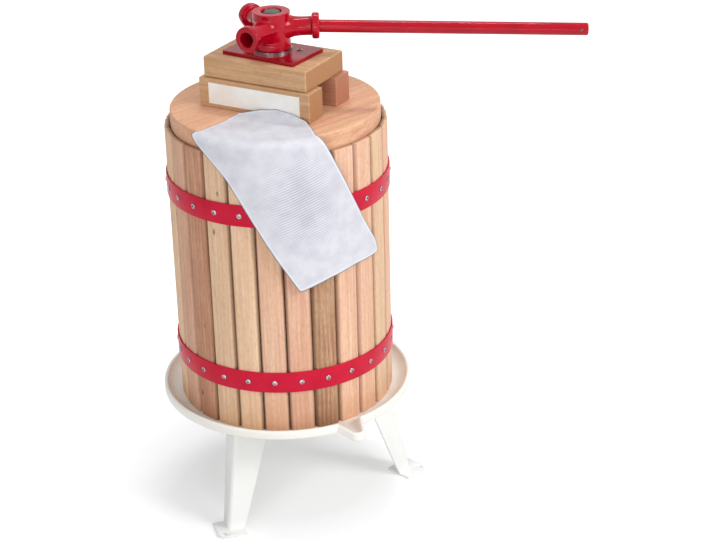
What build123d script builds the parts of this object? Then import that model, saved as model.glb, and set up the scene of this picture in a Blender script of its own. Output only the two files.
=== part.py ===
from build123d import *
from math import asin, atan2, cos, degrees, radians, sin
import os

os.makedirs("parts", exist_ok=True)

# Fruit press with a stave basket, a juice tray on three legs and a hand turned spindle nut.
# Millimetres, +Z up, origin on the spindle axis at the floor, the spout points to -Y.

# Fits and clearances
screw_fit = 0.05
bolt_fit = 0.2
spindle_fit = 0.05
spindle_hole_fit = 0.2
spindle_pass_clearance = 3.5
bar_fit = 0.8
bar_rest_gap = 0.036
hoop_seat = 0.1
board_clearance = 1.5
thrust_gap = 0.1
seam_gap = 1.0
bag_stand_off = 0.4
bag_corner_clearance = 6.4

# Directions seen from above, in degrees
spout_angle = -90.0
block_angle = -60.0
plate_turn = -4.0
bar_angle = -30.0

# Basket
basket_radius = 150.0
stave_count = 26
stave_width = 29.5
stave_slit = 0.8
stave_thickness = 7.0
stave_length = 400.0
stave_edge_round = 1.2
hoop_width = 30.0
hoop_thickness = 2.0
lower_hoop_rise = 61.0
upper_hoop_drop = 66.0
hoop_screw_radius = 1.6
hoop_screw_length = 6.5
hoop_screw_head_radius = 3.4
hoop_screw_head_height = 1.8
screw_head_taper = 25.0

# Tray
tray_floor_height = 157.0
tray_sheet = 2.0
tray_flat_margin = 3.0
tray_wall_run = 18.0
tray_wall_rise = 12.0
tray_lip_roll = 3.5
tray_lip_drop = 9.0
spout_length = 31.0
spout_mouth_width = 42.0
spout_tip_width = 17.0
spout_tip_height = 8.0
spout_tip_round = 4.0

# Base plate and legs
base_plate_inset = 3.0
base_plate_thickness = 4.0
leg_count = 3
leg_sheet = 3.0
leg_fold_inset = 4.0
leg_splay = 33.5
leg_flange_top = 50.0
leg_flange_foot = 25.0
leg_tab_length = 59.0
leg_tab_width = 66.0
foot_overhang = 16.0
foot_corner_cut = 6.0
foot_hole_radius = 4.0
leg_bolt_inset = 43.0
leg_bolt_spread = 36.0

# Leg bolts, metric size eight
bolt_radius = 4.0
bolt_head_flats = 13.0
bolt_head_height = 5.3
bolt_spare_length = 3.0
bolt_washer_radius = 8.0
bolt_washer_thickness = 1.6
bolt_nut_height = 6.5

# Spindle
spindle_radius = 12.5
spindle_top_recess = 0.5
spindle_spare_length = 6.0
spindle_end_chamfer = 1.0
lock_nut_flats = 41.0
lock_nut_height = 20.0
lock_washer_radius = 25.0
lock_washer_thickness = 4.0

# Press board, blocks and plate
board_thickness = 25.0
board_sink = 3.0
board_edge_round = 2.0
block_length = 170.0
block_width = 35.0
block_height = 40.0
block_gap = 36.0
block_edge_round = 1.5
label_length = 140.0
label_height = 29.0
label_thickness = 0.4
top_block_length = 158.0
top_block_width = 99.0
top_block_height = 29.0
top_block_edge_round = 3.0
plate_length = 114.0
plate_width = 72.0
plate_thickness = 5.0
plate_corner_round = 2.5
plate_edge_chamfer = 0.6
plate_screw_inset = 22.5
plate_screw_radius = 2.0
plate_screw_head_radius = 4.0
plate_screw_head_height = 2.0
plate_screw_length = 22.0
thrust_washer_radius = 26.0
thrust_washer_thickness = 3.0

# Spindle nut and handle bar
nut_radius = 25.0
nut_height = 50.0
nut_edge_round = 3.0
socket_count = 3
socket_height = 28.0
socket_tube_radius = 12.5
socket_reach = 63.0
socket_depth = 35.0
collar_radius = 17.5
collar_width = 10.0
collar_edge_round = 3.0
bar_radius = 8.5
bar_length = 389.0
bar_end_chamfer = 1.0
bar_seat_gap = 1.0
bar_hole_radius = 2.5
bar_hole_inset = 9.0

# Press bag: corners of the hanging part as angle about the axis and drop below the board
bag_thickness = 1.6
bag_top_left_angle = -162.0
bag_top_right_angle = -95.0
bag_bottom_left_angle = -110.0
bag_bottom_left_drop = 211.0
bag_bottom_right_angle = -64.0
bag_bottom_right_drop = 183.0
bag_facing_angle = -113.0
bag_inner_corner_shift = 18.8

# Heights and radii that follow from the sizes above
stave_inner_radius = basket_radius - stave_thickness
stave_top = tray_floor_height + stave_length
stave_pitch = 360.0 / stave_count
stave_front_angle = degrees(asin(stave_width / 2 / basket_radius))
stave_back_angle = stave_pitch / 2 - degrees(asin(stave_slit / 2 / stave_inner_radius))
hoop_inner_radius = basket_radius + hoop_seat
hoop_outer_radius = hoop_inner_radius + hoop_thickness
lower_hoop_bottom = tray_floor_height + lower_hoop_rise
upper_hoop_bottom = stave_top - upper_hoop_drop - hoop_width
tray_flat_radius = basket_radius + tray_flat_margin
base_plate_radius = basket_radius - base_plate_inset
leg_fold_top_radius = base_plate_radius - leg_fold_inset
leg_fold_foot_radius = leg_fold_top_radius + leg_splay
leg_tab_inner_radius = leg_fold_top_radius - leg_tab_length
leg_bolt_circle_radius = leg_fold_top_radius - leg_bolt_inset
tray_underside = tray_floor_height - tray_sheet
base_plate_underside = tray_underside - base_plate_thickness
leg_tab_underside = base_plate_underside - leg_sheet
board_radius = stave_inner_radius - board_clearance
board_bottom = stave_top - board_sink
board_top = board_bottom + board_thickness
block_top = board_top + block_height
top_block_top = block_top + top_block_height
plate_top = top_block_top + plate_thickness
washer_top = plate_top + thrust_washer_thickness
nut_bottom = washer_top + thrust_gap
nut_top = nut_bottom + nut_height
socket_axis = nut_bottom + socket_height
spindle_top = nut_top - spindle_top_recess
spindle_pass_radius = spindle_radius + spindle_pass_clearance
spindle_hole_radius = spindle_radius + spindle_hole_fit
tray_mid_height = tray_floor_height - tray_sheet / 2
tray_rim_radius = tray_flat_radius + tray_wall_run + tray_lip_roll + tray_sheet / 2
block_face_reach = block_gap / 2 + block_width
bar_droop = degrees(atan2(bar_fit - bar_rest_gap, socket_depth / 2))
bag_inner_radius = hoop_outer_radius + hoop_screw_head_height + bag_stand_off
leg_angles = [-spout_angle + leg * 360 / leg_count for leg in range(leg_count)]
stave_angles = [spout_angle + (index + 0.5) * stave_pitch for index in range(stave_count)]


def polar_point(radius, angle):
    """Point on a circle about the spindle axis, seen from above."""
    return radius * cos(radians(angle)), radius * sin(radians(angle))


def upright_plane(angle, height=0.0):
    """Horizontal plane on the spindle axis whose X axis points along the angle."""
    return Plane.XY.offset(height).rotated((0, 0, angle))


def radial_plane(angle, reach, height):
    """Vertical plane that faces outwards along the angle, its Y axis up."""
    outward = (*polar_point(1, angle), 0)
    sideways = (*polar_point(1, angle + 90), 0)
    return Plane(origin=(*polar_point(reach, angle), height), x_dir=sideways, z_dir=outward)


def fold_plane(angle, reach, height):
    """Horizontal plane at a leg's fold, its X and Y axes along the two flanges."""
    return Plane(origin=radial_plane(angle, reach, height).origin).rotated((0, 0, angle + 135))


def save(builder, name):
    """Label a finished sub-part and write it to its own file."""
    builder.part.label = name
    export_step(builder.part, f"parts/{name}.step")


# Juice tray: a pressed dish with a rolled lip and an open spout
with BuildPart() as spout_walls:
    spout_tip = tray_rim_radius + spout_length
    spout_root = tray_flat_radius - tray_sheet
    with BuildSketch(Plane.XY.offset(tray_underside)):
        with BuildLine():
            Polyline(
                (-spout_mouth_width / 2, -spout_root),
                (-spout_mouth_width / 2, -tray_rim_radius),
                (-spout_tip_width / 2, -spout_tip),
                (spout_tip_width / 2, -spout_tip),
                (spout_mouth_width / 2, -tray_rim_radius),
                (spout_mouth_width / 2, -spout_root),
                close=True,
            )
        make_face()
    extrude(amount=tray_sheet + tray_wall_rise)
    with BuildSketch(Plane.YZ):
        with BuildLine():
            Polyline(
                (-spout_root, tray_underside),
                (-spout_tip, tray_underside),
                (-spout_tip, tray_underside + spout_tip_height),
                (-tray_rim_radius, tray_floor_height + tray_wall_rise),
                (-spout_root, tray_floor_height + tray_wall_rise),
                close=True,
            )
        make_face()
    extrude(amount=spout_mouth_width, both=True, mode=Mode.INTERSECT)
    tip_corners = spout_walls.edges().filter_by(Axis.Z).group_by(Axis.Y)[0]
    fillet(tip_corners, spout_tip_round)
    with BuildSketch(Plane.XY.offset(tray_floor_height)):
        with BuildLine():
            Polyline(
                (tray_sheet - spout_mouth_width / 2, -spout_root),
                (tray_sheet - spout_mouth_width / 2, -tray_rim_radius),
                (tray_sheet - spout_tip_width / 2, -spout_tip - tray_sheet),
                (spout_tip_width / 2 - tray_sheet, -spout_tip - tray_sheet),
                (spout_mouth_width / 2 - tray_sheet, -tray_rim_radius),
                (spout_mouth_width / 2 - tray_sheet, -spout_root),
                close=True,
            )
        make_face()
    extrude(amount=2 * tray_wall_rise, mode=Mode.SUBTRACT)
    with BuildSketch(Plane.XY.offset(tray_floor_height)):
        Circle(tray_flat_radius + tray_wall_run + tray_sheet / 2)
    extrude(amount=2 * tray_wall_rise, mode=Mode.SUBTRACT)

with BuildPart() as tray:
    with BuildSketch(Plane.XZ):
        with BuildLine():
            wall_foot = (tray_flat_radius, tray_mid_height)
            wall_head = (tray_flat_radius + tray_wall_run, tray_mid_height + tray_wall_rise)
            lip_head = (wall_head[0] + tray_lip_roll, wall_head[1])
            Line((spindle_hole_radius, tray_mid_height), wall_foot)
            wall = TangentArc(wall_foot, wall_head, tangent=(1, 0))
            TangentArc(wall_head, lip_head, tangent=wall % 1)
            Line(lip_head, (lip_head[0], lip_head[1] - tray_lip_drop))
        trace(line_width=tray_sheet)
    revolve(axis=Axis.Z)
    with BuildSketch(Plane.XY.offset(tray_floor_height)):
        with Locations((0, -tray_rim_radius)):
            Rectangle(spout_mouth_width - 2 * tray_sheet, 2 * (tray_rim_radius - spout_root))
    extrude(amount=2 * tray_wall_rise, mode=Mode.SUBTRACT)
    add(spout_walls.part)
    for leg_angle in leg_angles:
        with BuildSketch(upright_plane(leg_angle, tray_underside)):
            with Locations((leg_bolt_circle_radius, 0)):
                with GridLocations(0, leg_bolt_spread, 1, 2):
                    Circle(bolt_radius + bolt_fit)
        extrude(amount=tray_sheet, mode=Mode.SUBTRACT)
save(tray, "tray")

# Base plate under the tray, which takes the pull of the spindle
with BuildPart() as base_plate:
    with BuildSketch(Plane.XY.offset(base_plate_underside)):
        Circle(base_plate_radius)
        Circle(spindle_hole_radius, mode=Mode.SUBTRACT)
    extrude(amount=base_plate_thickness)
    for leg_angle in leg_angles:
        with BuildSketch(upright_plane(leg_angle, base_plate_underside)):
            with Locations((leg_bolt_circle_radius, 0)):
                with GridLocations(0, leg_bolt_spread, 1, 2):
                    Circle(bolt_radius + bolt_fit)
        extrude(amount=base_plate_thickness, mode=Mode.SUBTRACT)
save(base_plate, "base_plate")

# Legs: folded sheet with the fold outwards, a bolted tab on top and a turned out foot
leg_names = ("rear_leg", "left_leg", "right_leg")
for leg_name, leg_angle in zip(leg_names, leg_angles):
    top_fold = fold_plane(leg_angle, leg_fold_top_radius, base_plate_underside)
    foot_fold = fold_plane(leg_angle, leg_fold_foot_radius, 0)
    with BuildPart() as leg_part:
        for section_plane, flange in ((foot_fold, leg_flange_foot), (top_fold, leg_flange_top)):
            with BuildSketch(section_plane):
                Rectangle(flange, leg_sheet, align=(Align.MIN, Align.MIN))
                Rectangle(leg_sheet, flange, align=(Align.MIN, Align.MIN))
        loft(ruled=True)
        with BuildSketch(upright_plane(leg_angle, leg_tab_underside)):
            with BuildLine():
                tab_nose = leg_fold_top_radius - leg_sheet
                tab_shoulder = tab_nose - leg_tab_width / 2
                Polyline(
                    (tab_nose, 0),
                    (tab_shoulder, leg_tab_width / 2),
                    (leg_tab_inner_radius, leg_tab_width / 2),
                    (leg_tab_inner_radius, -leg_tab_width / 2),
                    (tab_shoulder, -leg_tab_width / 2),
                    close=True,
                )
            make_face()
            with Locations((leg_bolt_circle_radius, 0)):
                with GridLocations(0, leg_bolt_spread, 1, 2):
                    Circle(bolt_radius + bolt_fit, mode=Mode.SUBTRACT)
        extrude(amount=leg_sheet)
        with BuildSketch(foot_fold):
            foot_side = foot_overhang + leg_flange_foot
            foot_centre = foot_side / 2 - foot_overhang
            with Locations((foot_centre, foot_centre)):
                foot_square = Rectangle(foot_side, foot_side)
            outer_corner = (-foot_overhang, -foot_overhang)
            chamfer(foot_square.vertices().sort_by_distance(outer_corner)[0], foot_corner_cut)
            with Locations((-foot_overhang / 2, -foot_overhang / 2)):
                Circle(foot_hole_radius, mode=Mode.SUBTRACT)
        extrude(amount=leg_sheet)
    save(leg_part, leg_name)

# Leg bolts with their washers and nuts, two to a leg
nut_seat = leg_tab_underside - bolt_washer_thickness
bolt_length = tray_floor_height - nut_seat + bolt_nut_height + bolt_spare_length
with BuildPart() as leg_bolts:
    for leg_angle in leg_angles:
        with BuildSketch(upright_plane(leg_angle, tray_floor_height)):
            with Locations((leg_bolt_circle_radius, 0)):
                with GridLocations(0, leg_bolt_spread, 1, 2):
                    RegularPolygon(bolt_head_flats / 2, 6, major_radius=False)
        extrude(amount=bolt_head_height)
        with BuildSketch(upright_plane(leg_angle, tray_floor_height)):
            with Locations((leg_bolt_circle_radius, 0)):
                with GridLocations(0, leg_bolt_spread, 1, 2):
                    Circle(bolt_radius)
        extrude(amount=-bolt_length)
save(leg_bolts, "leg_bolts")

with BuildPart() as leg_washers:
    for leg_angle in leg_angles:
        with BuildSketch(upright_plane(leg_angle, nut_seat)):
            with Locations((leg_bolt_circle_radius, 0)):
                with GridLocations(0, leg_bolt_spread, 1, 2):
                    Circle(bolt_washer_radius)
                    Circle(bolt_radius + bolt_fit, mode=Mode.SUBTRACT)
        extrude(amount=bolt_washer_thickness)
save(leg_washers, "leg_washers")

with BuildPart() as leg_nuts:
    for leg_angle in leg_angles:
        with BuildSketch(upright_plane(leg_angle, nut_seat)):
            with Locations((leg_bolt_circle_radius, 0)):
                with GridLocations(0, leg_bolt_spread, 1, 2):
                    RegularPolygon(bolt_head_flats / 2, 6, major_radius=False)
                    Circle(bolt_radius + screw_fit, mode=Mode.SUBTRACT)
        extrude(amount=-bolt_nut_height)
save(leg_nuts, "leg_nuts")

# Spindle, clamped to the tray and base plate by a lock nut and washer on each side
upper_nut_seat = tray_floor_height + lock_washer_thickness
lower_nut_seat = base_plate_underside - lock_washer_thickness
spindle_bottom = lower_nut_seat - lock_nut_height - spindle_spare_length
with BuildPart() as spindle:
    with BuildSketch(Plane.XY.offset(spindle_bottom)):
        Circle(spindle_radius)
    extrude(amount=spindle_top - spindle_bottom)
    chamfer(spindle.edges().filter_by(GeomType.CIRCLE), spindle_end_chamfer)
save(spindle, "spindle")

with BuildPart() as spindle_washers:
    for washer_bottom in (tray_floor_height, lower_nut_seat):
        with BuildSketch(Plane.XY.offset(washer_bottom)):
            Circle(lock_washer_radius)
            Circle(spindle_hole_radius, mode=Mode.SUBTRACT)
        extrude(amount=lock_washer_thickness)
save(spindle_washers, "spindle_washers")

with BuildPart() as spindle_lock_nuts:
    for nut_base in (upper_nut_seat, lower_nut_seat - lock_nut_height):
        with BuildSketch(Plane.XY.offset(nut_base)):
            RegularPolygon(lock_nut_flats / 2, 6, major_radius=False)
            Circle(spindle_radius + spindle_fit, mode=Mode.SUBTRACT)
        extrude(amount=lock_nut_height)
save(spindle_lock_nuts, "spindle_lock_nuts")

# Basket staves, half a pitch off the spout on either side, wider behind so that the slits open outwards
hoop_bottoms = {"lower": lower_hoop_bottom, "upper": upper_hoop_bottom}
screw_root = hoop_outer_radius - hoop_screw_length
for number, stave_angle in enumerate(stave_angles, start=1):
    with BuildPart() as stave:
        with BuildSketch(upright_plane(stave_angle, tray_floor_height)):
            with BuildLine():
                front = ThreePointArc(
                    polar_point(basket_radius, -stave_front_angle),
                    (basket_radius, 0),
                    polar_point(basket_radius, stave_front_angle),
                )
                back = ThreePointArc(
                    polar_point(stave_inner_radius, stave_back_angle),
                    (stave_inner_radius, 0),
                    polar_point(stave_inner_radius, -stave_back_angle),
                )
                Line(front @ 1, back @ 0)
                Line(back @ 1, front @ 0)
            make_face()
        extrude(amount=stave_length)
        fillet(stave.edges().filter_by(Axis.Z), stave_edge_round)
        for hoop_bottom in hoop_bottoms.values():
            with BuildSketch(radial_plane(stave_angle, screw_root, hoop_bottom + hoop_width / 2)):
                Circle(hoop_screw_radius + screw_fit)
            extrude(amount=hoop_screw_length, mode=Mode.SUBTRACT)
    save(stave, f"stave_{number:02d}")

# Hoops round the staves, and one screw through the hoop into every stave
for hoop_name, hoop_bottom in hoop_bottoms.items():
    screw_height = hoop_bottom + hoop_width / 2
    with BuildPart() as hoop:
        with BuildSketch(Plane.XY.offset(hoop_bottom)):
            Circle(hoop_outer_radius)
            Circle(hoop_inner_radius, mode=Mode.SUBTRACT)
        extrude(amount=hoop_width)
        for stave_angle in stave_angles:
            with BuildSketch(radial_plane(stave_angle, stave_inner_radius, screw_height)):
                Circle(hoop_screw_radius + screw_fit)
            extrude(amount=2 * stave_thickness, mode=Mode.SUBTRACT)
    save(hoop, f"{hoop_name}_hoop")

    with BuildPart() as hoop_screws:
        for stave_angle in stave_angles:
            with BuildSketch(radial_plane(stave_angle, screw_root, screw_height)):
                Circle(hoop_screw_radius)
            extrude(amount=hoop_screw_length)
            with BuildSketch(radial_plane(stave_angle, hoop_outer_radius, screw_height)):
                Circle(hoop_screw_head_radius)
            extrude(amount=hoop_screw_head_height, taper=screw_head_taper)
    save(hoop_screws, f"{hoop_name}_hoop_screws")

# Press board in two halves, split across the blocks
seam_angle = block_angle + 90
for half_name, half_side in (("left", 1), ("right", -1)):
    with BuildPart() as board_half:
        with BuildSketch(upright_plane(seam_angle, board_bottom)):
            Circle(board_radius)
            Circle(spindle_pass_radius, mode=Mode.SUBTRACT)
            with Locations((0, half_side * (board_radius + seam_gap / 2))):
                Rectangle(2 * board_radius, 2 * board_radius, mode=Mode.INTERSECT)
        extrude(amount=board_thickness)
        rim_edges = board_half.edges().filter_by(GeomType.CIRCLE).filter_by(
            lambda edge: edge.radius > board_radius / 2
        )
        fillet(rim_edges, board_edge_round)
    save(board_half, f"{half_name}_board_half")

# Two blocks across the board and one block across the two
block_reach = (block_gap + block_width) / 2
for block_name, block_side in (("front", -1), ("back", 1)):
    with BuildPart() as block:
        with BuildSketch(upright_plane(block_angle, board_top)):
            with Locations((0, block_side * block_reach)):
                Rectangle(block_length, block_width)
        extrude(amount=block_height)
        fillet(block.edges(), block_edge_round)
    save(block, f"{block_name}_block")

with BuildPart() as blank_label:
    with BuildSketch(radial_plane(block_angle - 90, block_face_reach, board_top + block_height / 2)):
        Rectangle(label_length, label_height)
    extrude(amount=label_thickness)
save(blank_label, "blank_label")

plate_plane = upright_plane(block_angle + plate_turn, top_block_top)
plate_screw_along = plate_length / 2 - plate_screw_inset
plate_screw_across = plate_width / 2 - plate_screw_inset
plate_screw_spots = [(plate_screw_along, plate_screw_across), (-plate_screw_along, -plate_screw_across)]
with BuildPart() as top_block:
    with BuildSketch(upright_plane(block_angle, block_top)):
        Rectangle(top_block_length, top_block_width)
    extrude(amount=top_block_height)
    fillet(top_block.edges(), top_block_edge_round)
    with BuildSketch(plate_plane):
        Circle(spindle_pass_radius)
    extrude(amount=-top_block_height, mode=Mode.SUBTRACT)
    with BuildSketch(plate_plane):
        with Locations(*plate_screw_spots):
            Circle(plate_screw_radius + screw_fit)
    extrude(amount=plate_thickness - plate_screw_length, mode=Mode.SUBTRACT)
save(top_block, "top_block")

# Pressure plate, its two wood screws on a diagonal and the thrust washer under the nut
with BuildPart() as pressure_plate:
    with BuildSketch(plate_plane):
        RectangleRounded(plate_length, plate_width, plate_corner_round)
        Circle(spindle_pass_radius, mode=Mode.SUBTRACT)
        with Locations(*plate_screw_spots):
            Circle(plate_screw_radius + screw_fit, mode=Mode.SUBTRACT)
    extrude(amount=plate_thickness)
    chamfer(pressure_plate.faces().sort_by(Axis.Z)[-1].outer_wire().edges(), plate_edge_chamfer)
save(pressure_plate, "pressure_plate")

with BuildPart() as plate_screws:
    with BuildSketch(plate_plane.offset(plate_thickness)):
        with Locations(*plate_screw_spots):
            Circle(plate_screw_radius)
    extrude(amount=-plate_screw_length)
    with BuildSketch(plate_plane.offset(plate_thickness)):
        with Locations(*plate_screw_spots):
            Circle(plate_screw_head_radius)
    extrude(amount=plate_screw_head_height, taper=screw_head_taper)
save(plate_screws, "plate_screws")

with BuildPart() as thrust_washer:
    with BuildSketch(Plane.XY.offset(plate_top)):
        Circle(thrust_washer_radius)
        Circle(spindle_pass_radius, mode=Mode.SUBTRACT)
    extrude(amount=thrust_washer_thickness)
save(thrust_washer, "thrust_washer")

# Spindle nut: a boss with three collared sockets for the handle bar
socket_angles = [bar_angle + socket * 360 / socket_count for socket in range(socket_count)]
with BuildPart() as collars:
    for socket_angle in socket_angles:
        with BuildSketch(radial_plane(socket_angle, socket_reach, socket_axis)):
            Circle(collar_radius)
        extrude(amount=-collar_width)
    fillet(collars.edges().filter_by(GeomType.CIRCLE), collar_edge_round)

with BuildPart() as spindle_nut:
    with BuildSketch(Plane.XY.offset(nut_bottom)):
        Circle(nut_radius)
    extrude(amount=nut_height)
    fillet(spindle_nut.edges().filter_by(GeomType.CIRCLE), nut_edge_round)
    for socket_angle in socket_angles:
        with BuildSketch(radial_plane(socket_angle, 0, socket_axis)):
            Circle(socket_tube_radius)
        extrude(amount=socket_reach - collar_width / 2)
    add(collars.part)
    with BuildSketch(Plane.XY.offset(nut_bottom)):
        Circle(spindle_radius + spindle_fit)
    extrude(amount=nut_height, mode=Mode.SUBTRACT)
    for socket_angle in socket_angles:
        with BuildSketch(radial_plane(socket_angle, socket_reach, socket_axis)):
            Circle(bar_radius + bar_fit)
        extrude(amount=-socket_depth, mode=Mode.SUBTRACT)
save(spindle_nut, "spindle_nut")

# Handle bar: loose in the first socket, so it droops a little, with a cross hole near its free end
socket_middle = radial_plane(bar_angle, socket_reach - socket_depth / 2, socket_axis)
bar_direction = (*polar_point(cos(radians(bar_droop)), bar_angle), -sin(radians(bar_droop)))
bar_plane = Plane(origin=socket_middle.origin, x_dir=socket_middle.x_dir, z_dir=bar_direction)
bar_start = bar_seat_gap - socket_depth / 2
with BuildPart() as handle_bar:
    with BuildSketch(bar_plane.offset(bar_start)):
        Circle(bar_radius)
    extrude(amount=bar_length)
    chamfer(handle_bar.edges().filter_by(GeomType.CIRCLE), bar_end_chamfer)
    hole_centre = bar_plane.offset(bar_start + bar_length - bar_hole_inset).origin
    with BuildSketch(Plane(origin=hole_centre, x_dir=bar_plane.z_dir, z_dir=bar_plane.x_dir)):
        Circle(bar_hole_radius)
    extrude(amount=2 * bar_radius, both=True, mode=Mode.SUBTRACT)
save(handle_bar, "handle_bar")

# Press bag: a flap on the board and a panel that hangs outside the hoops
bag_outer_radius = bag_inner_radius + bag_thickness
bag_seat = board_top + bag_stand_off
bag_top = bag_seat + bag_thickness
bag_bottom = board_top - bag_bottom_left_drop
bag_corners = (
    (bag_top_left_angle, bag_top),
    (bag_top_right_angle, bag_top),
    (bag_bottom_right_angle, board_top - bag_bottom_right_drop),
    (bag_bottom_left_angle, bag_bottom),
)
bag_corner_reach = block_face_reach + bag_corner_clearance
bag_corner_plane = upright_plane(block_angle, bag_seat)
bag_inner_corner = bag_corner_plane.from_local_coords((bag_inner_corner_shift, -bag_corner_reach, 0))
with BuildPart() as bag_flap:
    with BuildSketch(Plane.XY.offset(bag_seat)):
        with BuildLine():
            Polyline(
                (bag_inner_corner.X, bag_inner_corner.Y),
                polar_point(bag_outer_radius, bag_top_left_angle),
                polar_point(2 * bag_outer_radius, bag_facing_angle),
                polar_point(bag_outer_radius, bag_top_right_angle),
                close=True,
            )
        make_face()
        Circle(bag_outer_radius, mode=Mode.INTERSECT)
    extrude(amount=bag_thickness)

with BuildPart() as press_bag:
    with BuildSketch(Plane.XY.offset(bag_bottom)):
        Circle(bag_outer_radius)
        Circle(bag_inner_radius, mode=Mode.SUBTRACT)
    extrude(amount=bag_top - bag_bottom)
    with BuildSketch(radial_plane(bag_facing_angle, 0, 0)):
        with BuildLine():
            Polyline(
                [
                    (bag_outer_radius * sin(radians(angle - bag_facing_angle)), height)
                    for angle, height in bag_corners
                ],
                close=True,
            )
        make_face()
    extrude(amount=2 * bag_outer_radius, mode=Mode.INTERSECT)
    add(bag_flap.part)
save(press_bag, "press_bag")
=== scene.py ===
"""Looks of a hand fruit press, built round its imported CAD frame."""

from __future__ import annotations

import logging
import math
from collections.abc import Iterable, Sequence
from dataclasses import dataclass, replace
from enum import Enum

import bmesh
import bpy
from bmesh.types import BMEdge, BMesh, BMFace, BMVert
from mathutils import Matrix, Vector, noise


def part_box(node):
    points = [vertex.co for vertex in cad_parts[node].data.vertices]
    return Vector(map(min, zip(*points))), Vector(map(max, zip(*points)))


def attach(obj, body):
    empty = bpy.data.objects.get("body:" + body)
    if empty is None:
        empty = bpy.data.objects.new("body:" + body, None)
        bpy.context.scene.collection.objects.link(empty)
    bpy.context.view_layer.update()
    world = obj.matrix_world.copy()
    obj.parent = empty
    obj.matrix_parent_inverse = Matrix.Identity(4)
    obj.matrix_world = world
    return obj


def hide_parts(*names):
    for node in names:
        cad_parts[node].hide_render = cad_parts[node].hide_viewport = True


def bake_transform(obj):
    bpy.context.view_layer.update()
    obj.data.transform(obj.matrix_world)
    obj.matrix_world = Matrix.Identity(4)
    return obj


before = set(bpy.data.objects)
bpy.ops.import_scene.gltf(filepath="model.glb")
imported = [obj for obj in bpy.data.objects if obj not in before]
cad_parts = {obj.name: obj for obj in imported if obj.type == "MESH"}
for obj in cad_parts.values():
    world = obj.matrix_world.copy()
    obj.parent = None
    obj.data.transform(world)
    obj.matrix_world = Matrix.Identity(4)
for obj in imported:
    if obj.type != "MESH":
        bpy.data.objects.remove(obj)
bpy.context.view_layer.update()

log = logging.getLogger("fruit_press")

Colour = tuple[float, float, float, float]
Triple = tuple[float, float, float]
Point = tuple[float, float]
Socket = bpy.types.NodeSocket
Source = Socket | float | tuple

MM = 0.001
FULL_TURN = math.tau
UP = Vector((0.0, 0.0, 1.0))
ORIGIN = (0.0, 0.0, 0.0)

# Points nearer than this are one point, in a coarse and in a fine shape
MERGE_REACH = 0.01 * MM
FINE_REACH = 0.001 * MM

# Directions seen from above, in degrees, as the CAD frame has them
SPOUT_ANGLE = -90.0
BLOCK_ANGLE = -60.0
BAR_ANGLE = -30.0
LEG_ANGLES = {"rear_leg": 90.0, "left_leg": 210.0, "right_leg": 330.0}
STAVE_COUNT = 26


def srgb(red: int, green: int, blue: int) -> Colour:
    """Turn eight-bit screen values into linear light.

    Args:
        red: Red from 0 to 255.
        green: Green from 0 to 255.
        blue: Blue from 0 to 255.

    Returns:
        The colour as a shader socket takes it.
    """

    def linear(level: int) -> float:
        """Linear value of one channel."""
        share = level / 255
        return share / 12.92 if share <= 0.04045 else ((share + 0.055) / 1.055) ** 2.4

    return (linear(red), linear(green), linear(blue), 1.0)


def polar(radius: float, angle: float, height: float = 0.0) -> Vector:
    """Point about the spindle axis, from a radius in metres and an angle in degrees."""
    turn = math.radians(angle)
    return Vector((radius * math.cos(turn), radius * math.sin(turn), height))


def smooth_step(value: float, low: float, high: float) -> float:
    """Rise smoothly from 0 at low to 1 at high."""
    share = min(1.0, max(0.0, (value - low) / (high - low)))
    return share * share * (3 - 2 * share)


def arc_points(centre: Point, radius: float, start: float, end: float, count: int) -> list[Point]:
    """Points along an arc from a start angle to an end angle in degrees, ends included."""
    turns = [math.radians(start + (end - start) * step / (count - 1)) for step in range(count)]
    return [(centre[0] + radius * math.cos(turn), centre[1] + radius * math.sin(turn)) for turn in turns]


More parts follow.
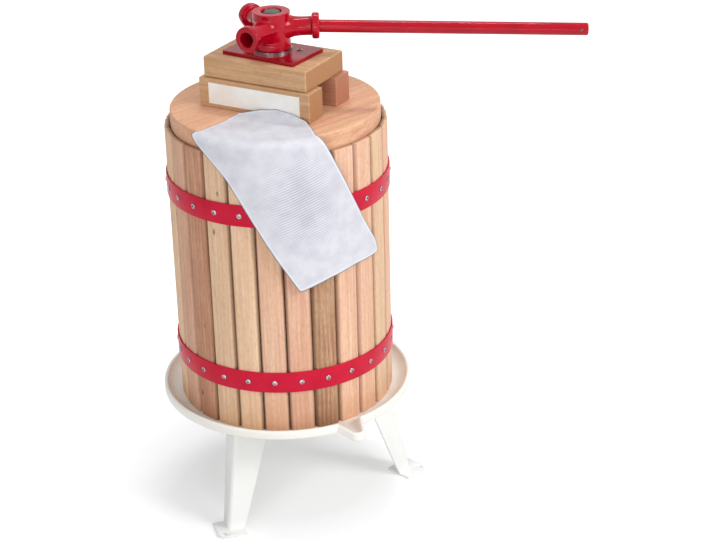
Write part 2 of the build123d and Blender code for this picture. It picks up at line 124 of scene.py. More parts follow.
class Graph:
    """A node tree, with short calls for the nodes that the finishes and the studio use."""

    # Radians that Blender's wave texture runs through in one unit
    WAVE_RATE = 20.0

    def __init__(self, owner: bpy.types.Material | bpy.types.World) -> None:
        """Start with an empty tree.

        Args:
            owner: The material or world that has the tree.
        """
        owner.use_nodes = True
        self.owner = owner
        self.nodes = owner.node_tree.nodes
        self.links = owner.node_tree.links
        self.nodes.clear()

    def add(self, kind: str, inputs: dict[str | int, Source], **settings: object) -> bpy.types.Node:
        """Add a node, set it up and wire it.

        Args:
            kind: Blender's name for the node type, without its leading ShaderNode.
            inputs: Values or sources for its input sockets.
            **settings: The node's own properties.

        Returns:
            The new node.
        """
        node = self.nodes.new(f"ShaderNode{kind}")
        for key, setting in settings.items():
            setattr(node, key, setting)
        for key, source in inputs.items():
            if isinstance(source, Socket):
                self.links.new(source, node.inputs[key])
            else:
                node.inputs[key].default_value = source
        return node

    def close(self, kind: str, surface: Socket) -> bpy.types.Material | bpy.types.World:
        """Make a shader the surface of the tree's output, and give back the tree's owner."""
        self.add(kind, {"Surface": surface})
        return self.owner

    def shade(self, sockets: dict[str, Source]) -> bpy.types.Material:
        """Close a material with one principled shader, from values or sources for its sockets."""
        return self.close("OutputMaterial", self.add("BsdfPrincipled", sockets).outputs["BSDF"])

    def object_place(self) -> Socket:
        """Object coordinates, which are the CAD frame's own."""
        return self.add("TexCoord", {}).outputs["Object"]

    def cloth_place(self) -> Socket:
        """The piece's own flat coordinates."""
        return self.add("TexCoord", {}).outputs["UV"]

    def attribute(self, name: str) -> Socket:
        """A number that the mesh holds for each of its points."""
        return self.add("Attribute", {}, attribute_name=name).outputs["Fac"]

    def part(self, place: Source, axis: int) -> Socket:
        """One of the three coordinates of a place."""
        return self.add("SeparateXYZ", {0: place}).outputs[axis]

    def turn(self, place: Source, turn: Triple) -> Socket:
        """Turn coordinates by angles in degrees."""
        angles = tuple(math.radians(angle) for angle in turn)
        return self.add("Mapping", {"Vector": place, "Rotation": angles}).outputs[0]

    def stretch(self, place: Source, scale: Triple) -> Socket:
        """Scale coordinates along their axes."""
        return self.add("Mapping", {"Vector": place, "Scale": scale}).outputs[0]

    def cloud(self, place: Source, size: float, detail: float = 2.0, warp: float = 0.0) -> Socket:
        """Soft noise from 0 to 1, with blotches of a size in metres, finer levels and a warp of its own."""
        inputs = {"Vector": place, "Scale": 1 / size, "Detail": detail, "Distortion": warp}
        return self.add("TexNoise", inputs).outputs[0]

    def bands(self, place: Source, period: float, warp: float, warp_size: float) -> Socket:
        """Parallel lines across X, bent by noise.

        Args:
            place: Coordinates in metres.
            period: Distance from line to line in metres.
            warp: How far the noise bends the lines.
            warp_size: Size of the bends, in periods.

        Returns:
            The lines from 0 to 1.
        """
        own_period = FULL_TURN / self.WAVE_RATE
        inputs = {
            "Vector": place,
            "Scale": own_period / period,
            "Distortion": warp,
            "Detail": 2.0,
            "Detail Scale": 1 / (warp_size * own_period),
        }
        return self.add("TexWave", inputs, wave_type="BANDS", bands_direction="X").outputs[1]

    def span(self, value: Source, given: Point, wanted: Point = (0.0, 1.0)) -> Socket:
        """Map a value from a given range onto a wanted one, clamped."""
        names = ("From Min", "From Max", "To Min", "To Max")
        return self.add("MapRange", {"Value": value, **dict(zip(names, given + wanted))}).outputs[0]

    def combine(self, first: Source, second: Source, how: str) -> Socket:
        """Combine two numbers with a math node."""
        return self.add("Math", {0: first, 1: second}, operation=how).outputs[0]

    def mix(self, share: Source, first: Source, second: Source, how: str = "MIX") -> Socket:
        """Mix a share of a second colour into a first, in a way that Blender names."""
        inputs = {0: share, 6: first, 7: second}
        return self.add("Mix", inputs, data_type="RGBA", blend_type=how).outputs[2]

    def cover(self, ground: Source, layers: Iterable[tuple[Source, Colour]]) -> Source:
        """Lay tints over a ground colour, one after another.

        Args:
            ground: The colour at the bottom.
            layers: How much of each tint, and the tint.

        Returns:
            The covered colour.
        """
        for share, tint in layers:
            ground = self.mix(share, ground, tint)
        return ground

    def distance(self, place: Source, point: Triple) -> Socket:
        """Distance from a point."""
        return self.add("VectorMath", {0: place, 1: point}, operation="DISTANCE").outputs["Value"]

    def bump(self, height: Source, depth: float, under: Source | None = None) -> Socket:
        """Raise the surface by a height from 0 to 1.

        Args:
            height: The height.
            depth: What a height of 1 is in metres.
            under: Normal of a coarser bump below this one.

        Returns:
            The bumped normal.
        """
        inputs = {"Height": height, "Distance": depth, "Strength": 1.0}
        if under is not None:
            inputs["Normal"] = under
        return self.add("Bump", inputs).outputs[0]


@dataclass(frozen=True)
class Knot:
    """A small dark knot at a place about the spindle axis."""

    angle: float
    height: float
    size: float


@dataclass(frozen=True)
class GrainLayer:
    """One layer of a wood's grain: noise drawn out along Z that shows over a range of its values."""

    size: float
    along: float
    detail: float
    shown: Point
    warp: float = 0.0

    def noise(self, graph: Graph, place: Source) -> Socket:
        """Noise of the layer, from coordinates with the grain along Z."""
        drawn_out = graph.stretch(place, (1.0, 1.0, self.along))
        return graph.cloud(drawn_out, self.size, self.detail, self.warp)

    def share(self, graph: Graph, layer_noise: Source, most: float) -> Socket:
        """How far the layer covers what is under it, up to a share."""
        return graph.span(layer_noise, self.shown, (0.0, most))


@dataclass(frozen=True)
class WoodFinish:
    """Planed beech without varnish: growth rings, streaks, fibres, ray flecks and a few knots.

    The grain runs along Z once the coordinates are turned. On staves the rings follow the basket.
    """

    name: str
    light: Colour
    dark: Colour
    blush: Colour
    ring_share: float = 0.5
    grain_angle: float = 0.0
    in_ring: bool = False
    ring_period: float = 0.0062
    blush_share: float = 0.8
    streak_share: float = 0.45
    fibre_share: float = 0.4
    speckle_share: float = 0.35
    fleck: Colour = srgb(120, 76, 50)
    fleck_share: float = 0.16
    end_share: float = 0.0
    knots: tuple[Knot, ...] = ()
    knot_colour: Colour = srgb(74, 44, 30)

    BLOTCHES = GrainLayer(0.03, along=0.3, detail=2.0, shown=(0.38, 0.62))
    STREAKS = GrainLayer(0.0065, along=0.035, detail=4.0, shown=(0.38, 0.68), warp=0.4)
    FIBRES = GrainLayer(0.0013, along=0.02, detail=3.0, shown=(0.4, 0.72))
    SPECKLE = GrainLayer(0.0028, along=0.4, detail=4.0, shown=(0.42, 0.72))
    FLECKS = GrainLayer(0.0012, along=0.16, detail=1.0, shown=(0.62, 0.72))
    SAWN_SLANT = 65.0
    RING_RADIUS = 0.150
    RING_ALONG = 0.1
    RING_WARP = 5.0
    RING_WARP_SIZE = 3.0
    RING_DEPTH = 0.00015
    FIBRE_DEPTH = 0.00025
    # The staves grow darker towards the bottom: the heights, share and ragged edge of that darkening
    DARK_FOOT_HEIGHTS = (0.185, 0.24)
    DARK_SHARE = 0.5
    DARK_FOOT_RAGGED = 0.06
    DARK_FOOT_SIZE = 0.02
    END_FACING = (0.7, 0.95)
    KNOT_ALONG = 0.4
    KNOT_SHARE = 0.85
    KNOT_RAGGED = 0.8
    KNOT_EDGE = (0.6, 1.4)
    ROUGHNESS = (0.5, 0.75)
    SPECULAR = 0.35

    def grain_place(self, graph: Graph) -> Socket:
        """Coordinates with the grain along Z and its rings across X.

        Args:
            graph: Node tree of the wood.

        Returns:
            The coordinates in metres.
        """
        if not self.in_ring:
            level = graph.turn(graph.object_place(), (0.0, 0.0, -self.grain_angle))
            return graph.turn(level, (0.0, 90.0, self.SAWN_SLANT))
        turned = graph.turn(graph.object_place(), (0.0, 0.0, 180.0 / STAVE_COUNT))
        gradient = graph.add("TexGradient", {"Vector": turned}, gradient_type="RADIAL").outputs[1]
        along_ring = graph.combine(gradient, FULL_TURN * self.RING_RADIUS, "MULTIPLY")
        reach = graph.distance(graph.stretch(turned, (1.0, 1.0, 0.0)), ORIGIN)
        parts = {0: along_ring, 1: reach, 2: graph.part(turned, 2)}
        return graph.add("CombineXYZ", parts).outputs[0]

    def build(self) -> bpy.types.Material:
        """Make the material.

        Returns:
            The material.
        """
        graph = Graph(bpy.data.materials.new(self.name))
        place = self.grain_place(graph)
        blotches = self.BLOTCHES.noise(graph, place)
        streaks = self.STREAKS.noise(graph, place)
        fibres = self.FIBRES.noise(graph, place)
        speckle = self.SPECKLE.noise(graph, place)
        flecks = self.FLECKS.noise(graph, place)
        rings = self.growth_rings(graph, place, blotches)
        layers = (
            (self.BLOTCHES.share(graph, blotches, self.blush_share), self.blush),
            (self.STREAKS.share(graph, streaks, self.streak_share), self.dark),
            (rings, self.dark),
            (self.FIBRES.share(graph, fibres, self.fibre_share), self.dark),
            (self.SPECKLE.share(graph, speckle, self.speckle_share), self.dark),
            (self.FLECKS.share(graph, flecks, self.fleck_share), self.fleck),
        )
        colour = graph.cover(self.light, layers)
        # Darker towards the bottom of each stave
        if self.in_ring:
            colour = graph.mix(self.dark_foot(graph, place), colour, self.dark)
        if self.end_share:
            colour = graph.mix(self.end_grain(graph), colour, self.dark)
        colour = graph.cover(colour, [(self.knot_spot(graph, knot), self.knot_colour) for knot in self.knots])
        # The tone attribute holds each stave's own tone times the painted shade of its groove walls
        if self.in_ring:
            tone = graph.attribute("tone")
            grey = graph.add("CombineColor", {0: tone, 1: tone, 2: tone}).outputs[0]
            colour = graph.mix(1.0, colour, grey, "MULTIPLY")
        sockets = {
            "Base Color": colour,
            "Roughness": graph.span(fibres, (0.2, 0.8), self.ROUGHNESS),
            "Specular IOR Level": self.SPECULAR,
            "Normal": graph.bump(fibres, self.FIBRE_DEPTH, graph.bump(rings, self.RING_DEPTH)),
        }
        return graph.shade(sockets)

    def growth_rings(self, graph: Graph, place: Source, blotches: Source) -> Socket:
        """Wandering lines along the grain, fainter in places.

        Args:
            graph: Node tree of the wood.
            place: Coordinates with the grain along Z.
            blotches: Noise that fades the lines.

        Returns:
            How dark the rings are.
        """
        drawn_out = graph.stretch(place, (1.0, 1.0, self.RING_ALONG))
        lines = graph.bands(drawn_out, self.ring_period, self.RING_WARP, self.RING_WARP_SIZE)
        lines = graph.span(lines, (0.3, 0.95), (0.0, self.ring_share))
        return graph.combine(lines, graph.span(blotches, (0.35, 0.65), (0.25, 1.0)), "MULTIPLY")

    def dark_foot(self, graph: Graph, place: Source) -> Socket:
        """How much darker the lower ends of the staves are.

        Args:
            graph: Node tree of the wood.
            place: Coordinates with the grain along Z.

        Returns:
            The share of the dark colour.
        """
        ragged = graph.cloud(place, self.DARK_FOOT_SIZE, detail=3.0)
        ragged = graph.combine(ragged, self.DARK_FOOT_RAGGED, "MULTIPLY")
        height = graph.combine(graph.part(place, 2), ragged, "ADD")
        return graph.span(height, self.DARK_FOOT_HEIGHTS, (self.DARK_SHARE, 0.0))

    def end_grain(self, graph: Graph) -> Socket:
        """How dark the end grain is, where a face looks along the grain.

        Args:
            graph: Node tree of the wood.

        Returns:
            The share of the dark colour.
        """
        normal = graph.add("NewGeometry", {}).outputs["Normal"]
        grain = tuple(polar(1.0, self.grain_angle))
        along = graph.add("VectorMath", {0: normal, 1: grain}, operation="DOT_PRODUCT").outputs["Value"]
        facing = graph.combine(along, 0.0, "ABSOLUTE")
        return graph.span(facing, self.END_FACING, (0.0, self.end_share))

    def knot_spot(self, graph: Graph, knot: Knot) -> Socket:
        """How dark the wood is round a knot.

        Args:
            graph: Node tree of the wood.
            knot: The knot.

        Returns:
            The knot's share.
        """
        centre = polar(self.RING_RADIUS, knot.angle, knot.height * self.KNOT_ALONG)
        oval = graph.stretch(graph.object_place(), (1.0, 1.0, self.KNOT_ALONG))
        ragged = graph.combine(graph.cloud(oval, knot.size / 2), knot.size * self.KNOT_RAGGED, "MULTIPLY")
        reach = graph.combine(graph.distance(oval, tuple(centre)), ragged, "ADD")
        edge = tuple(knot.size * share for share in self.KNOT_EDGE)
        return graph.span(reach, edge, (self.KNOT_SHARE, 0.0))


@dataclass(frozen=True)
class PaintFinish:
    """Paint, powder coat or enamel on steel."""

    name: str
    colour: Colour
    shade: Colour
    roughness: float
    specular: float
    peel_size: float = 0.0016
    peel_depth: float = 0.00002
    mottle_size: float = 0.035

    MOTTLE_SHARE = 0.8
    SMEARS_IN_MOTTLE = 5
    SMEAR_LEVELS = (0.92, 1.12)

    def build(self) -> bpy.types.Material:
        """Make the material.

        Returns:
            The material.
        """
        graph = Graph(bpy.data.materials.new(self.name))
        place = graph.object_place()
        mottle = graph.cloud(place, self.mottle_size, detail=4.0)
        peel = graph.cloud(place, self.peel_size, detail=1.0)
        smear = graph.cloud(place, self.mottle_size / self.SMEARS_IN_MOTTLE, detail=3.0)
        shaded = graph.span(mottle, (0.4, 0.72), (0.0, self.MOTTLE_SHARE))
        rough = tuple(self.roughness * level for level in self.SMEAR_LEVELS)
        sockets = {
            "Base Color": graph.mix(shaded, self.colour, self.shade),
            "Roughness": graph.span(smear, (0.3, 0.75), rough),
            "Specular IOR Level": self.specular,
            "Normal": graph.bump(peel, self.peel_depth),
        }
        return graph.shade(sockets)


@dataclass(frozen=True)
class SteelFinish:
    """Bare or plated steel with fine tool marks."""

    name: str
    colour: Colour
    stain: Colour
    roughness: float
    mark_size: float = 0.0004
    mark_stretch: Triple = (1.0, 1.0, 0.1)
    mark_depth: float = 0.00001
    stain_size: float = 0.006

    DARK_SHARE = 0.8
    MARK_LEVELS = (0.75, 1.4)

    def build(self) -> bpy.types.Material:
        """Make the material.

        Returns:
            The material.
        """
        graph = Graph(bpy.data.materials.new(self.name))
        place = graph.object_place()
        marks = graph.cloud(graph.stretch(place, self.mark_stretch), self.mark_size, detail=2.0)
        stains = graph.cloud(place, self.stain_size, detail=4.0)
        stained = graph.span(stains, (0.45, 0.75), (0.0, self.DARK_SHARE))
        rough = tuple(self.roughness * level for level in self.MARK_LEVELS)
        sockets = {
            "Base Color": graph.mix(stained, self.colour, self.stain),
            "Metallic": 1.0,
            "Roughness": graph.span(marks, (0.3, 0.7), rough),
            "Normal": graph.bump(marks, self.mark_depth),
        }
        return graph.shade(sockets)


@dataclass(frozen=True)
class MeshClothFinish:
    """Fine woven nylon whose threads follow the sheet, ribbed in one patch, pale along its hem and with a
    painted shadow line along its edge.
    """

    name: str
    thread: Colour
    gap: Colour
    hem: Colour
    # Colour of the painted shadow line along the sheet's outer edge
    edge: Colour = srgb(112, 113, 124)
    pitch: float = 0.0013
    rib_pitch: float = 0.0034

    WEFT_ANGLE = 21.0
    WEAVE_WARP = 0.4
    WEAVE_WARP_SIZE = 20.0
    WEAVE_DEPTH = 0.0002
    GAP_SHARE = 0.55
    ROUGHNESS = (0.62, 0.42)
    SHEEN = 0.2
    SHEEN_ROUGHNESS = 0.4
    RIB_WARP = 0.6
    RIB_WARP_SIZE = 6.0
    RIB_DEPTH = 0.00015
    SOIL_SIZE = 0.022
    SOIL_SHARE = 0.35
    HEM_SHARE = 0.7
    PAINTED_SHADOW_SHARE = 0.9
    PATCH_CENTRE = (0.058, 0.085)
    PATCH_SHAPE = 0.7
    PATCH_REACH = (0.035, 0.085)
    PATCH_SHARE = (1.0, 0.06)
    PATCH_RAGGED = 0.05
    PATCH_SIZE = 0.02

    def build(self) -> bpy.types.Material:
        """Make the material.

        Returns:
            The material.
        """
        graph = Graph(bpy.data.materials.new(self.name))
        flat = graph.cloth_place()
        place = graph.turn(flat, (0.0, 0.0, self.WEFT_ANGLE))
        across = graph.turn(place, (0.0, 0.0, 90.0))
        hem = graph.attribute("hem")
        warp = graph.bands(place, self.pitch, self.WEAVE_WARP, self.WEAVE_WARP_SIZE)
        weft = graph.bands(across, self.pitch, self.WEAVE_WARP, self.WEAVE_WARP_SIZE)
        weave = graph.combine(warp, weft, "MULTIPLY")
        ribs = graph.span(graph.bands(across, self.rib_pitch, self.RIB_WARP, self.RIB_WARP_SIZE), (0.3, 0.8))
        ribs = graph.combine(ribs, self.ribbed_patch(graph, flat), "MULTIPLY")
        ribs = graph.combine(ribs, graph.span(hem, (0.0, 1.0), (1.0, 0.0)), "MULTIPLY")
        soil = graph.cloud(place, self.SOIL_SIZE, detail=4.0)
        layers = (
            (graph.span(weave, (0.0, 0.5), (self.GAP_SHARE, 0.0)), self.gap),
            (graph.span(soil, (0.4, 0.7), (0.0, self.SOIL_SHARE)), self.gap),
            (ribs, self.gap),
            (graph.combine(hem, self.HEM_SHARE, "MULTIPLY"), self.hem),
            # Painted shadow: a dark line along the sheet's outer edge, from the edge attribute
            (graph.span(graph.attribute("edge"), (0.35, 0.75), (0.0, self.PAINTED_SHADOW_SHARE)), self.edge),
        )
        sockets = {
            "Base Color": graph.cover(self.thread, layers),
            "Roughness": graph.span(weave, (0.0, 1.0), self.ROUGHNESS),
            "Sheen Weight": self.SHEEN,
            "Sheen Roughness": self.SHEEN_ROUGHNESS,
            "Normal": graph.bump(weave, self.WEAVE_DEPTH, graph.bump(ribs, self.RIB_DEPTH)),
        }
        return graph.shade(sockets)

    def ribbed_patch(self, graph: Graph, flat: Source) -> Socket:
        """Where the ribs show: in the middle of the hanging part, fading out unevenly.

        Args:
            graph: Node tree of the cloth.
            flat: The sheet's flat coordinates.

        Returns:
            The share of the ribs.
        """
        centre = (self.PATCH_CENTRE[0], self.PATCH_CENTRE[1] * self.PATCH_SHAPE, 0.0)
        reach = graph.distance(graph.stretch(flat, (1.0, self.PATCH_SHAPE, 0.0)), centre)
        ragged = graph.combine(graph.cloud(flat, self.PATCH_SIZE, detail=3.0), self.PATCH_RAGGED, "MULTIPLY")
        return graph.span(graph.combine(reach, ragged, "ADD"), self.PATCH_REACH, self.PATCH_SHARE)


@dataclass(frozen=True)
class LabelFinish:
    """A blank satin label, a little yellowed in patches."""

    name: str
    colour: Colour
    aged: Colour
    patch_size: float = 0.03
    grain_size: float = 0.0006
    grain_depth: float = 0.00001

    ROUGHNESS = (0.32, 0.48)

    def build(self) -> bpy.types.Material:
        """Make the material.

        Returns:
            The material.
        """
        graph = Graph(bpy.data.materials.new(self.name))
        place = graph.object_place()
        patches = graph.cloud(place, self.patch_size, detail=4.0)
        grain = graph.cloud(place, self.grain_size, detail=2.0)
        sockets = {
            "Base Color": graph.mix(graph.span(patches, (0.4, 0.75)), self.colour, self.aged),
            "Roughness": graph.span(grain, (0.3, 0.7), self.ROUGHNESS),
            "Normal": graph.bump(grain, self.grain_depth),
        }
        return graph.shade(sockets)


class StaveTone(Enum):
    """Named tones of the basket's staves: light, dark and blush grain colours and how far the rings show."""

    STRAW = (srgb(238, 206, 172), srgb(206, 160, 120), srgb(240, 204, 176), 0.3)
    PEACH = (srgb(240, 200, 168), srgb(208, 152, 116), srgb(244, 202, 180), 0.3)
    PINK = (srgb(232, 192, 162), srgb(192, 138, 108), srgb(228, 178, 154), 0.32)
    RUST = (srgb(210, 162, 130), srgb(156, 104, 78), srgb(198, 142, 114), 0.4)
    BROWN = (srgb(212, 170, 134), srgb(128, 86, 58), srgb(204, 152, 120), 0.55)


# Tone of each stave, from the first to the right of the spout, anticlockwise from above
STAVE_TONES = [
    StaveTone[name]
    for name in (
        "PEACH PEACH STRAW PEACH STRAW PINK PEACH STRAW RUST "
        "PEACH PINK STRAW PEACH PEACH BROWN STRAW PEACH STRAW "
        "STRAW PINK RUST STRAW STRAW PEACH PINK BROWN"
    ).split()
]
STAVE_KNOTS = {
    StaveTone.PEACH: (Knot(-76.0, 0.162, 0.0030), Knot(-64.0, 0.345, 0.0018)),
    StaveTone.RUST: (Knot(190.0, 0.192, 0.0026), Knot(195.5, 0.300, 0.0016)),
    StaveTone.STRAW: (Knot(209.5, 0.502, 0.0020), Knot(206.0, 0.446, 0.0028)),
}


class Finishes:
    """Every material of the press, made once."""

    def __init__(self) -> None:
        """Make the materials."""
        self.staves = {tone: self.stave_wood(tone).build() for tone in StaveTone}
        self.board = WoodFinish(
            "beech_board",
            srgb(234, 190, 152),
            srgb(196, 130, 96),
            srgb(236, 186, 156),
            ring_share=0.36,
            grain_angle=12.0,
            ring_period=0.0052,
            streak_share=0.4,
        ).build()
        block = WoodFinish(
            "beech_block",
            srgb(214, 176, 134),
            srgb(172, 124, 84),
            srgb(212, 168, 132),
            ring_share=0.28,
            grain_angle=BLOCK_ANGLE,
            streak_share=0.4,
            end_share=1.0,
        )
        self.block = block.build()
        self.back_block = replace(
            block,
            name="beech_block_pink",
            light=srgb(214, 160, 130),
            dark=srgb(168, 108, 82),
            blush=srgb(206, 146, 120),
            end_share=0.8,
        ).build()
        self.hoop = PaintFinish("red_hoop_paint", srgb(204, 28, 58), srgb(190, 18, 48), 0.36, 0.12).build()
        self.plate = PaintFinish("red_plate_paint", srgb(152, 4, 24), srgb(132, 2, 18), 0.16, 0.3).build()
        self.gloss = PaintFinish(
            "red_gloss_paint",
            srgb(180, 1, 32),
            srgb(156, 1, 24),
            roughness=0.09,
            specular=0.22,
            peel_size=0.004,
            peel_depth=0.00004,
        ).build()
        enamel = PaintFinish(
            "white_enamel",
            srgb(244, 241, 234),
            srgb(241, 237, 229),
            roughness=0.42,
            specular=0.35,
            peel_size=0.005,
            peel_depth=0.000006,
            mottle_size=0.08,
        )
        self.enamel = enamel.build()
        self.leg_enamel = replace(
            enamel, name="white_leg_enamel", colour=srgb(243, 243, 240), shade=srgb(238, 238, 234)
        ).build()
        self.spindle = SteelFinish("spindle_steel", srgb(92, 94, 90), srgb(62, 60, 54), 0.42).build()
        self.zinc = SteelFinish("zinc_steel", srgb(188, 190, 192), srgb(150, 148, 140), 0.34).build()
        self.bright = SteelFinish("bright_steel", srgb(172, 168, 170), srgb(108, 100, 100), 0.2).build()
        self.mesh_cloth = MeshClothFinish(
            "nylon_mesh", srgb(240, 239, 244), srgb(172, 172, 187), srgb(236, 236, 242)
        ).build()
        white = srgb(246, 246, 248)
        self.seam = MeshClothFinish("nylon_seam", white, srgb(222, 224, 230), white, pitch=0.0008).build()
        self.label = LabelFinish("label_paper", srgb(244, 243, 240), srgb(236, 231, 220)).build()

    @staticmethod
    def stave_wood(tone: StaveTone) -> WoodFinish:
        """Finish of the staves of one tone."""
        name = f"beech_stave_{tone.name.lower()}"
        return WoodFinish(name, *tone.value, in_ring=True, knots=STAVE_KNOTS.get(tone, ()))


@dataclass(frozen=True)
class Home:
    """Where a finished piece belongs: its body, its slot and the CAD nodes that it stands for. The slot is
    not used.
    """

    body: str
    slot: str
    stands_for: tuple[str, ...] = ()


def new_object(name: str, data: bpy.types.ID) -> bpy.types.Object:
    """Add an object to the scene.

    Args:
        name: Name of the object.
        data: Its mesh, light or camera.

    Returns:
        The object.
    """
    added = bpy.data.objects.new(name, data)
    bpy.context.scene.collection.objects.link(added)
    return added


def new_piece(mesh: BMesh, name: str, material: bpy.types.Material) -> bpy.types.Object:
    """Turn a bmesh into a smooth object.

    Args:
        mesh: The finished shape, in the CAD frame. It is freed.
        name: Name of the object.
        material: Its finish.

    Returns:
        The object.
    """
    data = bpy.data.meshes.new(name)
    for face in mesh.faces:
        face.smooth = True
    mesh.to_mesh(data)
    mesh.free()
    data.materials.append(material)
    log.info("built %s with %d faces", name, len(data.polygons))
    return new_object(name, data)


def finish_piece(
    mesh: BMesh, name: str, home: Home, material: bpy.types.Material, sharp: float = 38.0
) -> bpy.types.Object:
    """Turn a bmesh into a rigid piece of the press.

    Args:
        mesh: The finished shape, in the CAD frame. It is freed.
        name: Name of the piece.
        home: Where the piece belongs.
        material: Its finish.
        sharp: Edges bent by more than this many degrees stay sharp.

    Returns:
        The piece's object.
    """
    piece = new_piece(mesh, name, material)
    piece.data.set_sharp_from_angle(angle=math.radians(sharp))
    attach(piece, home.body)
    if home.stands_for:
        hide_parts(*home.stands_for)
    return piece


def add_modifier(piece: bpy.types.Object, name: str, kind: str, **settings: object) -> None:
    """Add a modifier and set it up.

    Args:
        piece: The piece that gets it.
        name: Name of the modifier.
        kind: Blender's name for its type.
        **settings: The modifier's properties.
    """
    modifier = piece.modifiers.new(name, kind)
    for key, setting in settings.items():
        setattr(modifier, key, setting)


def dress_node(name: str, material: bpy.types.Material) -> None:
    """Give a CAD node that is shown as it is its finish.

    Args:
        name: Name of the node.
        material: Its finish.
    """
    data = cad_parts[name].data
    data.materials.clear()
    data.materials.append(material)
    log.info("dressed %s", name)


def everything(mesh: BMesh) -> list[BMVert | BMEdge | BMFace]:
    """All vertices, edges and faces of a shape."""
    return list(mesh.verts) + list(mesh.edges) + list(mesh.faces)


def only(kind: type, items: Iterable) -> list:
    """The items of one kind, such as the vertices of what an operator made."""
    return [item for item in items if isinstance(item, kind)]


def new_chain(
    mesh: BMesh, points: Iterable[Vector], closed: bool = False
) -> tuple[list[BMVert], list[BMEdge]]:
    """Add a chain of vertices and edges.

    Args:
        mesh: Where to add it.
        points: The chain's points in order.
        closed: True to join the last point to the first.

    Returns:
        The new vertices and edges.
    """
    verts = [mesh.verts.new(point) for point in points]
    pairs = list(zip(verts, verts[1:]))
    if closed:
        pairs.append((verts[-1], verts[0]))
    return verts, [mesh.edges.new(pair) for pair in pairs]


def spin_outline(mesh: BMesh, outline: Sequence[Point], steps: int, closed: bool = True) -> None:
    """Spin an outline of radius and height about the spindle axis.

    Args:
        mesh: Where to add the shape.
        outline: Points of radius and height.
        steps: Steps round the full turn.
        closed: True where the outline is a closed section.
    """
    verts, edges = new_chain(mesh, [Vector((radius, 0.0, height)) for radius, height in outline], closed)
    bmesh.ops.spin(
        mesh, geom=verts + edges, cent=ORIGIN, axis=UP, angle=FULL_TURN, steps=steps, use_merge=True
    )
    bmesh.ops.remove_doubles(mesh, verts=mesh.verts, dist=FINE_REACH)
    bmesh.ops.recalc_face_normals(mesh, faces=mesh.faces)


def bevel_sharp(mesh: BMesh, width: float, segments: int = 3, over: float = 30.0) -> None:
    """Round every edge that is bent by more than an angle.

    Args:
        mesh: The shape.
        width: Width of the bevel in metres.
        segments: Steps across the bevel.
        over: The angle in degrees.
    """
    limit = math.radians(over)
    edges = [edge for edge in mesh.edges if edge.is_manifold and edge.calc_face_angle() > limit]
    bmesh.ops.bevel(
        mesh,
        geom=edges,
        offset=width,
        offset_type="OFFSET",
        segments=segments,
        profile=0.5,
        affect="EDGES",
        clamp_overlap=True,
        material=-1,
    )


def face_along(mesh: BMesh, outward: Vector) -> None:
    """Turn an open sheet over if its faces look away from a direction."""
    if sum(face.normal.dot(outward) * face.calc_area() for face in mesh.faces) < 0:
        bmesh.ops.reverse_faces(mesh, faces=mesh.faces)


def node_heights(name: str) -> Point:
    """Lowest and highest point of a CAD node."""
    low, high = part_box(name)
    return low.z, high.z


def stave_angle(number: int) -> float:
    """Angle of a stave's middle, numbered from 1."""
    return SPOUT_ANGLE + (number - 0.5) * 360.0 / STAVE_COUNT


